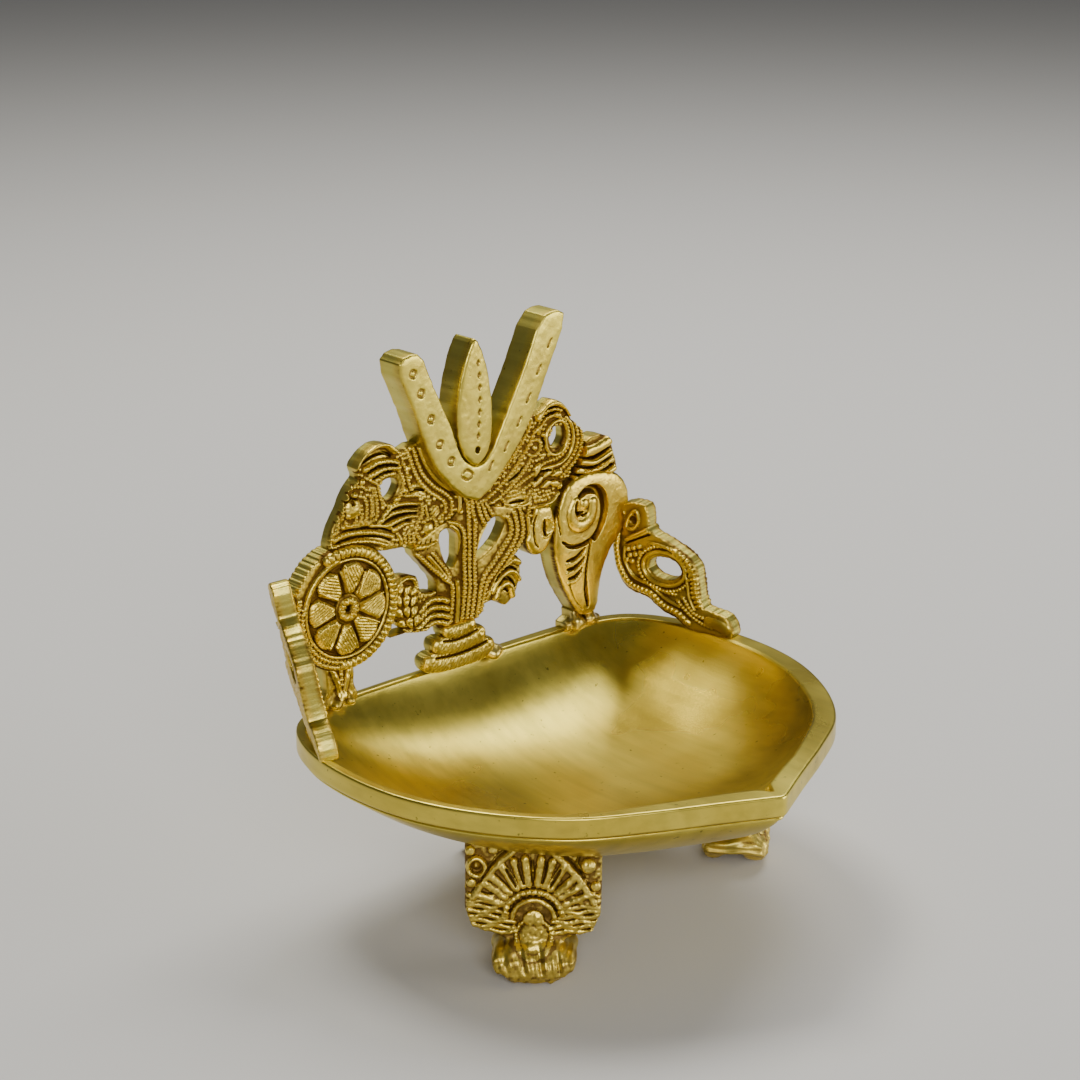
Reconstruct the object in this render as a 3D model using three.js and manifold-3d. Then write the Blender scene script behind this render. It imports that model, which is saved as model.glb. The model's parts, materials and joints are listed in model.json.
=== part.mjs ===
// A cast-brass diya: a leaf-shaped oil bowl on three shell legs, with an openwork back plate.
// Units are millimetres. +Z is up, the spout points to -Y and the back plate stands at +Y.
// The origin lies on the standing surface, under the middle of the object's outline.
import * as THREE from "three";
import { mergeVertices } from "three/addons/utils/BufferGeometryUtils.js";
import Module from "manifold-3d";

const wasm = await Module();
wasm.setup();

// Driving dimensions.
const HALF_LENGTH = 44; // tip of the spout to the origin, and the origin to the back of the plate
const HALF_WIDTH = 50.3; // widest part of the bowl
const RIM_HEIGHT = 36; // top of the rim above the standing surface
const RIM_BAND = 4; // upright band below the rim's top face
const BELLY_DEPTH = 14.2; // from below the band to the underside of the bowl
const CAVITY_DEPTH = 16; // from the rim's top face to the floor of the bowl
const BAND_STEP = 0.03; // how far the belly starts inside the band, as a share of the outline
const BOWL_CENTRE = new THREE.Vector2(0, 3);
const BELLY_RADIUS = 43; // radius that the outline rounds off towards, lower down
const PLATE_BACK = HALF_LENGTH;
const FILIGREE_THICKNESS = 4;
const WHEEL_THICKNESS = 5;
const CREST_THICKNESS = 6;
const WHEEL_RADIUS = 12;
const HUB_RADIUS = 2.7;
const PETALS = 8;
const WING_THICKNESS = 3.5;
const LEG_THICKNESS = 4.5;
const FOOT_DEPTH = 12.6;
const GAP = 0.3; // clearance left between neighbouring castings where the braze lies
const SPOKES = 72; // points around the bowl

const PLATE_FRONT = PLATE_BACK - FILIGREE_THICKNESS;

// The wings turn out from straight ahead by an angle, and lean outwards at the top, in degrees.
// The left casting is shorter and taller than the right one and is set more askew.
const WINGS = {
  right: { root: [41.8, 41.8], angle: 15, lean: 0, length: 1, height: 1 },
  left: { root: [38.1, 41.5], angle: 26.5, lean: 10, length: 0.82, height: 1.15 },
};
// The legs: where each stands under the belly, and where its shell face looks, in degrees from +X.
const LEGS = {
  leg_front_left: { x: -28.8, y: -11.2, facing: 226 },
  leg_front_right: { x: 32.2, y: -2.1, facing: -50 },
  leg_back: { x: 0, y: 30, facing: 90 },
};

const brass = (color, roughness) =>
  new THREE.MeshStandardMaterial({ color, roughness, metalness: 1 });
const POLISHED = { color: 0xb5933c, roughness: 0.32 };
const CAST = { color: 0x9a7a34, roughness: 0.5 };

// Booleans on closed geometries.
function solid(geometry) {
  const bare = geometry.clone();
  bare.deleteAttribute("normal");
  bare.deleteAttribute("uv");
  const merged = mergeVertices(bare, 1e-4);
  return new wasm.Manifold(
    new wasm.Mesh({
      numProp: 3,
      vertProperties: new Float32Array(merged.attributes.position.array),
      triVerts: new Uint32Array(merged.index.array),
    }),
  );
}

function geometryOf(manifold) {
  const mesh = manifold.getMesh();
  const geometry = new THREE.BufferGeometry();
  geometry.setAttribute("position", new THREE.BufferAttribute(mesh.vertProperties, 3));
  geometry.setIndex(new THREE.BufferAttribute(mesh.triVerts, 1));
  return geometry;
}

// The solid and its copies moved by GAP in eight directions of the plate's plane: what it clears.
function clearance(manifold) {
  let grown = manifold;
  for (let step = 0; step < 8; step++) {
    const angle = (step * Math.PI) / 4;
    grown = grown.add(manifold.translate([GAP * Math.cos(angle), 0, GAP * Math.sin(angle)]));
  }
  return grown;
}

// Closed outlines: smooth ones pass through every point, cornered ones join them with straight lines.
const toVectors = (points) => points.map(([x, y]) => new THREE.Vector2(x, y));

function smooth(points, perPoint = 3) {
  const loop = new THREE.CatmullRomCurve3(
    points.map(([x, y]) => new THREE.Vector3(x, y, 0)),
    true,
    "centripetal",
  );
  const samples = loop.getPoints(points.length * perPoint).slice(0, -1);
  return samples.map((p) => new THREE.Vector2(p.x, p.y));
}

function ellipse(cx, cy, rx, ry, tilt = 0, count = 20) {
  const curve = new THREE.EllipseCurve(cx, cy, rx, ry, 0, 2 * Math.PI, false, tilt);
  return curve.getPoints(count).slice(0, -1);
}

// An outline in x and height above the rim, standing upright between two planes of constant Y.
function upright(outline, holes, front, back) {
  const wound = (loop, clockwise) =>
    THREE.ShapeUtils.isClockWise(loop) === clockwise ? loop : loop.slice().reverse();
  const shape = new THREE.Shape(wound(outline, false));
  holes.forEach((hole) => shape.holes.push(new THREE.Path(wound(hole, true))));
  const depth = back - front;
  const geometry = new THREE.ExtrudeGeometry(shape, { depth, bevelEnabled: false });
  geometry.rotateX(Math.PI / 2);
  geometry.translate(0, back, RIM_HEIGHT);
  return solid(geometry);
}

// ---- Bowl ----

// Half of the rim's outline, from the tip of the spout round the right side to the middle of the back.
const RIM_HALF = [
  [0, -HALF_LENGTH],
  [11, -38.3],
  [22, -32.8],
  [33, -26],
  [42, -15.3],
  [48.3, -2],
  [HALF_WIDTH, 12],
  [48.6, 27],
  [42.5, 38.5],
  [32, 42.9],
  [18, HALF_LENGTH - 0.15],
];

function rimOutline() {
  const left = RIM_HALF.slice().reverse().map(([x, y]) => [-x, y]);
  const curve = new THREE.SplineCurve(toVectors([...RIM_HALF, ...left]));
  return curve.getSpacedPoints(SPOKES).slice(0, -1);
}

// The rim's top face is wider on the right and at the spout than on the left and at the back.
function rimWidth(point) {
  const rightness = THREE.MathUtils.smoothstep(point.x, -25, 35);
  const tipness = 1 - THREE.MathUtils.smoothstep(point.y, -44, -20);
  return 2 + 2.3 * Math.max(rightness * (1 - 0.6 * Math.max(point.y, 0) / HALF_LENGTH), tipness);
}

function inset(outline, widthAt) {
  return outline.map((point, i) => {
    const before = outline.at(i - 1);
    const after = outline[(i + 1) % outline.length];
    const normal = new THREE.Vector2(before.y - after.y, after.x - before.x).normalize();
    return point.clone().addScaledVector(normal, widthAt(point));
  });
}

// One ring of the bowl: the outline drawn in to a share of its size, and rounder as it shrinks.
function bowlRing(outline, share, z) {
  const roundness = 1 - share;
  return outline.map((point) => {
    const arm = point.clone().sub(BOWL_CENTRE);
    const round = arm.clone().setLength(BELLY_RADIUS);
    arm.lerp(round, roundness).multiplyScalar(share).add(BOWL_CENTRE);
    return new THREE.Vector3(arm.x, arm.y, z);
  });
}

// Rings from the lower middle point, outwards and up, then inwards and down to the upper middle point.
function loft(rings, lowPoint, highPoint) {
  const count = rings[0].length;
  const positions = [...rings.flat(), lowPoint, highPoint].flatMap((p) => p.toArray());
  const index = [];
  const low = rings.length * count;
  const last = (rings.length - 1) * count;
  for (let i = 0; i < count; i++) {
    const next = (i + 1) % count;
    index.push(low, next, i);
    index.push(low + 1, last + i, last + next);
    for (let r = 0; r < rings.length - 1; r++) {
      const a = r * count;
      const b = a + count;
      index.push(a + i, a + next, b + next);
      index.push(a + i, b + next, b + i);
    }
  }
  const geometry = new THREE.BufferGeometry();
  geometry.setAttribute("position", new THREE.Float32BufferAttribute(positions, 3));
  geometry.setIndex(index);
  return geometry;
}

const bellyZ = (share) =>
  RIM_HEIGHT - RIM_BAND - BELLY_DEPTH * (1 - share ** 2.4) ** 0.75;
const cavityZ = (share) => RIM_HEIGHT - CAVITY_DEPTH * (1 - share ** 2.6) ** 0.8;
const BELLY_SHARES = [0.22, 0.4, 0.54, 0.66, 0.76, 0.84, 0.9, 0.95, 0.98, 1];

function bellyRings(outline, drop) {
  return BELLY_SHARES.map((share) =>
    bowlRing(outline, share * (1 - BAND_STEP), bellyZ(share) - drop),
  );
}

function bowl() {
  const outer = rimOutline();
  const inner = inset(outer, rimWidth);
  const rings = bellyRings(outer, 0);
  rings.push(bowlRing(outer, 1, RIM_HEIGHT - RIM_BAND));
  rings.push(bowlRing(outer, 1, RIM_HEIGHT));
  for (const share of BELLY_SHARES.slice().reverse()) {
    rings.push(bowlRing(inner, share, cavityZ(share)));
  }
  const low = new THREE.Vector3(BOWL_CENTRE.x, BOWL_CENTRE.y, bellyZ(0));
  const high = new THREE.Vector3(BOWL_CENTRE.x, BOWL_CENTRE.y, cavityZ(0));
  return loft(rings, low, high);
}

// The space under and inside the bowl's outer skin, which the legs keep out of.
function bowlSpace() {
  const outer = rimOutline();
  const rings = bellyRings(outer, GAP);
  rings.push(bowlRing(outer, 1 - BAND_STEP, RIM_HEIGHT));
  const low = new THREE.Vector3(BOWL_CENTRE.x, BOWL_CENTRE.y, bellyZ(0) - GAP);
  const high = new THREE.Vector3(BOWL_CENTRE.x, BOWL_CENTRE.y, RIM_HEIGHT);
  return solid(loft(rings, low, high));
}

// ---- Back plate, in x and height above the rim ----

const CREST_U = [
  [1.5, 33.5],
  [10, 40.5],
  [15, 47],
  [19, 55],
  [23.5, 66],
  [18.8, 66.3],
  [13, 56],
  [7.5, 46],
  [4.6, 41.4],
  [1.5, 40],
  [-1.6, 41.6],
  [-4.5, 48],
  [-9, 57.5],
  [-12.5, 64.3],
  [-16.8, 63.2],
  [-13.5, 54],
  [-10.5, 46],
  [-7.5, 40.5],
];
const CREST_FLAME = [
  [1.5, 40.4],
  [4.4, 42.6],
  [5.4, 48],
  [5, 55],
  [3.4, 61.5],
  [1.5, 64.6],
  [-0.6, 61],
  [-2.4, 55],
  [-2.9, 48.5],
  [-1.4, 42.8],
];
const STEM = [
  [-6.5, 9],
  [-7.5, 13.5],
  [-6.8, 18],
  [-9.7, 22],
  [-12.5, 26],
  [-6.5, 29.2],
  [-2.5, 30.2],
  [1.5, 33.2],
  [4.5, 31],
  [11.5, 29],
  [15.8, 26.6],
  [16.2, 23.6],
  [14.4, 20.6],
  [10.6, 18],
  [7.2, 15.6],
  [5.2, 12.6],
  [3.4, 9],
];
const STEM_HOLE_LEFT = [
  [-4.9, 28.6],
  [-3.1, 28.2],
  [-1.6, 26.6],
  [-1.4, 24],
  [-1.7, 21.2],
  [-3.1, 19.6],
  [-5.2, 22.2],
  [-6.2, 25.4],
  [-6.2, 27.9],
];
const STEM_HOLE_RIGHT = [
  [2.7, 20.1],
  [3, 23.2],
  [4.7, 26.2],
  [7, 28.1],
  [9.6, 27.8],
  [10.5, 26.2],
  [8.2, 22.7],
  [5, 20.7],
];
const LEAF_SPRAY = [
  [-17, 21],
  [-12, 20.5],
  [-11, 17],
  [-6.5, 16],
  [-6, 11],
  [-12, 9.5],
  [-15.5, 11],
  [-17.5, 14],
];
const LEAF_CURL = [
  [2.5, 14.5],
  [4.5, 17.4],
  [9, 19.7],
  [13.5, 18.5],
  [14, 14.5],
  [12.5, 11],
  [10.3, 9.5],
  [7.5, 11.3],
  [3.2, 11],
];
const SHOULDER_LEFT = [
  [-19, 27.6],
  [-22, 28.2],
  [-26.5, 29.8],
  [-31.8, 29.9],
  [-31.8, 32.6],
  [-30.6, 35.2],
  [-29, 37.6],
  [-27.8, 39.8],
  [-26.6, 41.4],
  [-25, 42.8],
  [-25.6, 44.8],
  [-24.4, 46.4],
  [-22.2, 47.9],
  [-19.2, 48.3],
  [-16.9, 47.1],
  [-15.6, 45.8],
  [-11, 46.5],
  [-8, 40.5],
  [1.5, 33.6],
  [-2.5, 30],
  [-6.5, 29],
  [-9.5, 26],
  [-12.5, 27],
];
const SHOULDER_LEFT_HOLE = [
  [-20.1, 40.6],
  [-18.2, 41.5],
  [-16, 41],
  [-15.3, 39.5],
  [-16.6, 37.4],
  [-18.2, 36.8],
  [-19.4, 37.8],
];
const SHOULDER_RIGHT = [
  [1.5, 33.6],
  [9, 39.5],
  [13.7, 45],
  [18.5, 46],
  [22.5, 48.5],
  [25.5, 46.8],
  [28, 43.3],
  [30.7, 40.5],
  [31, 37.5],
  [29, 34.5],
  [26.5, 31.5],
  [24.5, 29.2],
  [22.5, 27.6],
  [18, 27.8],
  [16.8, 24.8],
  [11.5, 28.6],
  [4.5, 31],
];
const SHOULDER_RIGHT_HOLE = [
  [22, 40.5],
  [23.6, 43.2],
  [26, 42.4],
  [26, 39.6],
  [24, 38],
];
const SHELL = [
  [26, 30.5],
  [31, 32],
  [38.5, 30.5],
  [40.8, 28.6],
  [42.3, 24.5],
  [40.5, 18.5],
  [37, 14.5],
  [34.5, 9],
  [33.2, 3],
  [29.6, 2.8],
  [26.8, 6.5],
  [24.5, 10.5],
  [22.7, 16.5],
  [22.4, 20.5],
  [23.6, 26],
];
const TURBAN = [
  [31, 38.2],
  [36.8, 38.4],
  [38.6, 34.6],
  [39.3, 30.8],
  [31, 32.2],
  [27, 30.8],
  [29.5, 34],
];
const WING = [
  [0.2, 19],
  [0.9, 21.5],
  [2.4, 23.6],
  [7.3, 23.8],
  [8, 20.6],
  [8.2, 19],
  [14, 16.6],
  [18.8, 13.6],
  [19.8, 9.5],
  [21, 4.8],
  [25.5, 4],
  [27.3, 2.4],
  [27.6, 0],
  [22, 0],
  [17.4, 0.3],
  [15, 1.8],
  [11.5, 2.9],
  [8.4, 5],
  [3.8, 6],
  [1.2, 9.4],
  [0.2, 14],
];

const wheelCentre = [-29.2, 18.8];
const wheelFront = PLATE_BACK - WHEEL_THICKNESS;
const crestFront = PLATE_BACK - CREST_THICKNESS;

function plateSolid(points, holes = [], front = PLATE_FRONT) {
  return upright(smooth(points), holes, front, PLATE_BACK);
}

// A disc with a raised rim and eight raised petals, bored for its hub.
function wheel() {
  const [cx, cz] = wheelCentre;
  const bore = ellipse(cx, cz, HUB_RADIUS + GAP, HUB_RADIUS + GAP);
  const round = (radius) => ellipse(cx, cz, radius, radius, 0, 48);
  const web = upright(round(WHEEL_RADIUS), [bore], wheelFront + 1, PLATE_BACK);
  const rim = upright(round(WHEEL_RADIUS), [round(WHEEL_RADIUS - 2.6)], wheelFront, PLATE_BACK);
  let body = web.add(rim);
  for (let i = 0; i < PETALS; i++) {
    const angle = (i * 2 * Math.PI) / PETALS;
    const middle = [cx + 6 * Math.cos(angle), cz + 6 * Math.sin(angle)];
    const petal = ellipse(...middle, 2.7, 1.9, angle, 16);
    body = body.add(upright(petal, [], wheelFront + 0.3, PLATE_BACK));
  }
  return body;
}

function pedestal() {
  const steps = [
    { left: -11.6, right: 7.4, low: 0, high: 3.6 },
    { left: -9.2, right: 5, low: 3.6, high: 6.6 },
    { left: -6.8, right: 2.6, low: 6.6, high: 8.7 },
  ];
  const right = steps.flatMap((s) => [[s.right, s.low], [s.right - 0.6, s.high]]);
  const left = steps.flatMap((s) => [[s.left, s.low], [s.left + 0.6, s.high]]).reverse();
  return upright(toVectors([...right, ...left]), [], PLATE_FRONT - 0.8, PLATE_BACK);
}

// A low round head, turned about an upright axis.
function rivet() {
  const profile = [[0, 0], [2.2, 0], [2.2, 0.8], [1.6, 1.8], [0.6, 2.2], [0, 2.2]];
  const geometry = new THREE.LatheGeometry(toVectors(profile), 20);
  geometry.rotateX(Math.PI / 2);
  geometry.translate(7.2, 40.9, RIM_HEIGHT);
  return solid(geometry);
}

// Feet that spread where the brazing metal has run out over the rim.
function foot(x, top, topHalf, spread) {
  const outline = [
    [x - topHalf, top],
    [x - topHalf + 0.2, top * 0.5],
    [x - spread, 0.9],
    [x - spread, 0],
    [x + spread, 0],
    [x + spread, 0.9],
    [x + topHalf - 0.2, top * 0.5],
    [x + topHalf, top],
  ];
  return upright(toVectors(outline), [], PLATE_FRONT, PLATE_BACK);
}

// A wing on the right side; its lower edge rests on the rim and its root stays within the plate.
function wing({ root, angle, lean, length, height }) {
  const oval = ellipse(12.1 * length, 11.7 * height, 4 * length, 2.6 * height);
  const outline = smooth(WING).map((p) => new THREE.Vector2(p.x * length, Math.max(p.y, 0) * height));
  const blank = upright(outline, [oval], -WING_THICKNESS / 2, WING_THICKNESS / 2);
  const geometry = geometryOf(blank);
  geometry.translate(0, 0, -RIM_HEIGHT);
  geometry.rotateX(-THREE.MathUtils.degToRad(lean));
  geometry.rotateZ(THREE.MathUtils.degToRad(angle - 90));
  geometry.translate(...root, RIM_HEIGHT);
  return solid(geometry)
    .trimByPlane([0, 0, 1], RIM_HEIGHT)
    .trimByPlane([0, -1, 0], -PLATE_BACK);
}

// ---- Legs ----

const LEG_PLATE = [
  [-11.7, 27],
  [-11.9, 13.2],
  [-10.6, 9.8],
  [-7.8, 8.9],
  [-5.2, 7.6],
  [5.2, 7.4],
  [7.6, 8.4],
  [10.2, 9.4],
  [11.6, 12.6],
  [11.9, 27],
];
const LEG_FOOT = [
  [-5.2, 8],
  [-5.4, 6.8],
  [-7.8, 4.4],
  [-6.6, 1.8],
  [-4.2, 0],
  [4.2, 0],
  [6.6, 1.8],
  [7.8, 4.4],
  [5.4, 6.8],
  [5.2, 8],
];

// The foot seen from the side: a heel and a toe with a low arch between them.
function footProfile() {
  const half = FOOT_DEPTH / 2;
  const shape = [
    [-LEG_THICKNESS / 2, 8],
    [-half, 4.5],
    [-half, 1.4],
    [-half + 1.4, 0],
    [-1.8, 0],
    [0, 1.3],
    [1.8, 0],
    [half - 1.4, 0],
    [half, 1.4],
    [half, 4.5],
    [LEG_THICKNESS / 2, 8],
  ];
  const geometry = new THREE.ExtrudeGeometry(new THREE.Shape(toVectors(shape)), {
    depth: 20,
    bevelEnabled: false,
  });
  geometry.translate(0, 0, -10);
  geometry.rotateX(Math.PI / 2);
  geometry.rotateZ(-Math.PI / 2);
  return solid(geometry);
}

// A leg stands at a point under the belly with its shell face turned to the given direction.
function leg({ x, y, facing }) {
  const half = LEG_THICKNESS / 2;
  const plate = upright(toVectors(LEG_PLATE), [], -half, half).translate([0, 0, -RIM_HEIGHT]);
  const front = upright(toVectors(LEG_FOOT), [], -FOOT_DEPTH, FOOT_DEPTH);
  const base = front.translate([0, 0, -RIM_HEIGHT]).intersect(footProfile());
  const turned = geometryOf(plate.add(base));
  turned.rotateZ(THREE.MathUtils.degToRad(facing + 90));
  turned.translate(x, y, 0);
  return solid(turned).subtract(bowlSpace());
}

// ---- Assembly ----

const lamp = new THREE.Group();
lamp.name = "diya_lamp";

function place(name, geometry, finish) {
  geometry.computeVertexNormals();
  const mesh = new THREE.Mesh(geometry, brass(finish.color, finish.roughness));
  mesh.name = name;
  lamp.add(mesh);
}

place("bowl", bowl(), POLISHED);
for (const [name, stance] of Object.entries(LEGS)) {
  place(name, geometryOf(leg(stance)), CAST);
}

// Castings of the back plate, each cut back to clear the ones before it that it meets.
const plate = {};
const cutBack = (body, ...names) =>
  names.reduce((left, name) => left.subtract(clearance(plate[name])), body);

plate.crest_u = plateSolid(CREST_U, [], crestFront);
plate.crest_flame = cutBack(plateSolid(CREST_FLAME, [], crestFront + 0.4), "crest_u");
plate.wheel = wheel();
plate.wheel_hub = upright(
  ellipse(...wheelCentre, HUB_RADIUS, HUB_RADIUS, 0, 24),
  [ellipse(...wheelCentre, 0.7, 0.7, 0, 10)],
  wheelFront - 0.2,
  PLATE_BACK,
);
plate.wheel_foot = cutBack(foot(-30.7, 7.6, 3.2, 3.8), "wheel");
plate.pedestal_rivet = rivet();
plate.pedestal = pedestal().subtract(
  clearance(plate.pedestal_rivet).add(plate.pedestal_rivet.translate([0, 0, GAP])),
);
plate.stem = cutBack(
  plateSolid(STEM, [smooth(STEM_HOLE_LEFT), smooth(STEM_HOLE_RIGHT)]),
  "crest_u",
  "pedestal",
);
plate.leaf_spray_left = cutBack(plateSolid(LEAF_SPRAY), "wheel", "stem");
plate.leaf_curl_right = cutBack(plateSolid(LEAF_CURL), "stem");
plate.shoulder_scroll_left = cutBack(
  plateSolid(SHOULDER_LEFT, [smooth(SHOULDER_LEFT_HOLE)]),
  "crest_u",
  "wheel",
  "stem",
);
plate.shoulder_scroll_right = cutBack(
  plateSolid(SHOULDER_RIGHT, [smooth(SHOULDER_RIGHT_HOLE)]),
  "crest_u",
  "stem",
  "shoulder_scroll_left",
);
plate.shell = cutBack(plateSolid(SHELL, [], PLATE_FRONT - 0.8), "shoulder_scroll_right");
plate.shell_turban = cutBack(
  plateSolid(TURBAN, [], PLATE_FRONT - 0.5),
  "shell",
  "shoulder_scroll_right",
);
plate.eyelet = cutBack(
  upright(ellipse(19, 23.2, 3.6, 5.2, -0.15, 28), [ellipse(20.3, 23, 0.6, 1.4)], PLATE_FRONT, PLATE_BACK),
  "stem",
  "leaf_curl_right",
  "shoulder_scroll_right",
  "shell",
);
plate.shell_foot = cutBack(foot(30.9, 3.4, 2.6, 4.2), "shell");
plate.wing_right = wing(WINGS.right).subtract(clearance(plate.shell));
plate.wing_left = wing(WINGS.left)
  .mirror([1, 0, 0])
  .subtract(clearance(plate.wheel))
  .subtract(clearance(plate.wheel_foot));

for (const [name, body] of Object.entries(plate)) {
  const smoothFaced = name.startsWith("crest") || name === "shell";
  place(name, geometryOf(body), smoothFaced ? POLISHED : CAST);
}

export default lamp;
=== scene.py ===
"""The looks of a cast-brass diya oil lamp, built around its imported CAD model."""

import json
import math

import bpy
import numpy as np
from mathutils import Matrix, Vector


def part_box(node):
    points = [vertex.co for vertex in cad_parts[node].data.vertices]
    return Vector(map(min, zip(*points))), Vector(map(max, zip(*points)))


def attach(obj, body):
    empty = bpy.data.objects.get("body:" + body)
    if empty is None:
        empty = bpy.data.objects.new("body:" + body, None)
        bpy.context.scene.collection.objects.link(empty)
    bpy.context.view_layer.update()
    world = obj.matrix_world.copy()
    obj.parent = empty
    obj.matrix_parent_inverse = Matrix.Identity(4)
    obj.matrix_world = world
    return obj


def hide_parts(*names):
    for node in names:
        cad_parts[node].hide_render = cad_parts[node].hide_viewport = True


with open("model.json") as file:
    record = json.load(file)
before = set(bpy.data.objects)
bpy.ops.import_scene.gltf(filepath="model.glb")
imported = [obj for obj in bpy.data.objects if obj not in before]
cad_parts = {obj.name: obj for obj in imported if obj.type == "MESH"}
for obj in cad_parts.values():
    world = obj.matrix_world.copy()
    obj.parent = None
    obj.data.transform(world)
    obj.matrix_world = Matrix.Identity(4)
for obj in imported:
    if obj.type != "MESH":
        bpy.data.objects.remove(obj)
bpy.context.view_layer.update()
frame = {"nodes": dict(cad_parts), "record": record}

MM = 0.001
BODY = "root"

# Driving sizes, in millimetres, taken from the CAD model.
RIM_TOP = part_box("bowl")[1].z / MM
PLATE_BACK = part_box("stem")[1].y / MM
WING_THICKNESS = 3.5
# The wings turn out by an angle and lean outwards at the top, as in the CAD model. The left one
# is shorter and taller than the right one.
WINGS = {
    1: {"root": (41.8, 41.8), "turn": 15.0, "lean": 0.0, "length": 1.0, "height": 1.0},
    -1: {"root": (38.1, 41.5), "turn": 26.5, "lean": 10.0, "length": 0.82, "height": 1.15},
}
LEG_THICKNESS = 4.5
LEG_FACINGS = {"leg_front_left": 226.0, "leg_front_right": -50.0, "leg_back": 90.0}
LEG_PLACES = {"leg_front_left": (-28.8, -11.2), "leg_front_right": (32.2, -2.1), "leg_back": (0, 30)}
FUSE = 0.22  # how far each casting runs into the braze around it
ROUND = 0.45  # softness of the edges between a face and the side wall
UNEVEN_EDGE = 0.07  # how far the sand mould lets an outline stray
UNEVEN_BACK = 0.08
# relief against its surroundings sets both the rubbed-bright high points and the painted shade in hollows
WEAR_AND_SHADE_BLUR = 0.55  # relief is judged against its surroundings within this
WEAR_AND_SHADE_RELIEF = 0.22  # relief this high is rubbed fully bright
MARGIN = 1.2  # clear space round a casting on its grid
REACH = 2.5  # the furthest that a ridge or groove acts from its middle line
SLOTS = {part["node"]: part["material_slot"] for part in frame["record"]["subparts"]}

# The camera looks at a point beside and above the rim, in degrees and millimetres.
AZIMUTH, ELEVATION, ROLL = -42.0, 19.0, -0.22
CAMERA_DISTANCE, LENS = 479.5, 87.2
AIM_LEFT, AIM_UP = 12.6, 33.5


# ---------------------------------------------------------------- camera


def add_camera():
    """The camera stands in front of the lamp, to the left and a little above the rim."""
    azimuth, elevation, roll = (math.radians(angle) for angle in (AZIMUTH, ELEVATION, ROLL))
    right = Vector((math.cos(azimuth), math.sin(azimuth), 0.0))
    level = Vector((math.sin(azimuth), -math.cos(azimuth), 0.0))
    back = level * math.cos(elevation) + Vector((0, 0, math.sin(elevation)))
    up = back.cross(right)
    place = Vector((0, 0, RIM_TOP)) - AIM_LEFT * right + AIM_UP * up + CAMERA_DISTANCE * back
    data = bpy.data.cameras.new("camera")
    data.lens = LENS
    data.sensor_width = 36.0
    data.clip_start = 0.01
    camera = bpy.data.objects.new("camera", data)
    bpy.context.scene.collection.objects.link(camera)
    turn = Matrix((right, up, back)).transposed().to_4x4()
    turn = turn @ Matrix.Rotation(roll, 4, "Z")
    camera.matrix_world = Matrix.Translation(place * MM) @ turn
    bpy.context.scene.camera = camera


add_camera()


# ---------------------------------------------------------------- curves and fields


def curve(points, closed=False, step=0.08):
    """Points about a step apart on a smooth curve through the given points."""
    p = np.array(points, float)
    if len(p) == 2:
        p = np.array([p[0], p.mean(0), p[1]])
    if closed:
        p = np.vstack([p[-1], p, p[0], p[1]])
    else:
        p = np.vstack([2 * p[0] - p[1], p, 2 * p[-1] - p[-2]])
    pieces = []
    for a, b, c, d in zip(p[:-3], p[1:-2], p[2:-1], p[3:]):
        count = max(2, int(np.linalg.norm(c - b) / step))
        t = (np.arange(count) / count)[:, None]
        cubic = (2 * a - 5 * b + 4 * c - d) * t**2 + (3 * b - a - 3 * c + d) * t**3
        pieces.append(0.5 * (2 * b + (c - a) * t + cubic))
    if not closed:
        pieces.append(p[-2][None])
    return np.vstack(pieces)


def arc(cx, cy, radius, start, end, count=24):
    """Points on an arc, its angles in degrees."""
    angles = np.radians(np.linspace(start, end, count))
    return np.stack([cx + radius * np.cos(angles), cy + radius * np.sin(angles)], 1)


def ray(cx, cy, angle, radii):
    """Points on a line outwards from a middle, the angle in degrees."""
    turn = math.radians(angle)
    return [(cx + r * math.cos(turn), cy + r * math.sin(turn)) for r in radii]


def oval(cx, cy, rx, ry, tilt=0.0, count=28):
    """A closed oval, its tilt in degrees."""
    angles = np.linspace(0, 2 * np.pi, count, endpoint=False)
    c, s = math.cos(math.radians(tilt)), math.sin(math.radians(tilt))
    x, y = rx * np.cos(angles), ry * np.sin(angles)
    return np.stack([cx + c * x - s * y, cy + s * x + c * y], 1)


def smooth_noise(shape, cell, seed):
    """Smooth random values, about one bump per cell, between -1 and 1."""
    rng = np.random.default_rng(seed)
    coarse = [int(math.ceil(n / cell)) + 2 for n in shape]
    value = rng.uniform(-1, 1, coarse)
    for axis, n in enumerate(shape):
        at = np.arange(n) / cell
        low = at.astype(int)
        t = at - low
        t = t * t * (3 - 2 * t)
        size = [1, 1]
        size[axis] = n
        t = t.reshape(size)
        value = np.take(value, low, axis) * (1 - t) + np.take(value, low + 1, axis) * t
    return value


def blurred(field, radius):
    """A box blur run twice, radius in cells."""
    for _ in range(2):
        for axis in (0, 1):
            pad = [(0, 0), (0, 0)]
            pad[axis] = (radius + 1, radius)
            total = np.cumsum(np.pad(field, pad, mode="edge"), axis)
            n = field.shape[axis]
            width = 2 * radius + 1
            upper = np.take(total, np.arange(n) + width, axis)
            field = (upper - np.take(total, np.arange(n), axis)) / width
    return field


def soft_max(a, b, soft):
    """The larger of two fields, rounded where they are about equal."""
    near = np.maximum(soft - np.abs(a - b), 0) / soft
    return np.maximum(a, b) + near * near * soft * 0.25


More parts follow.
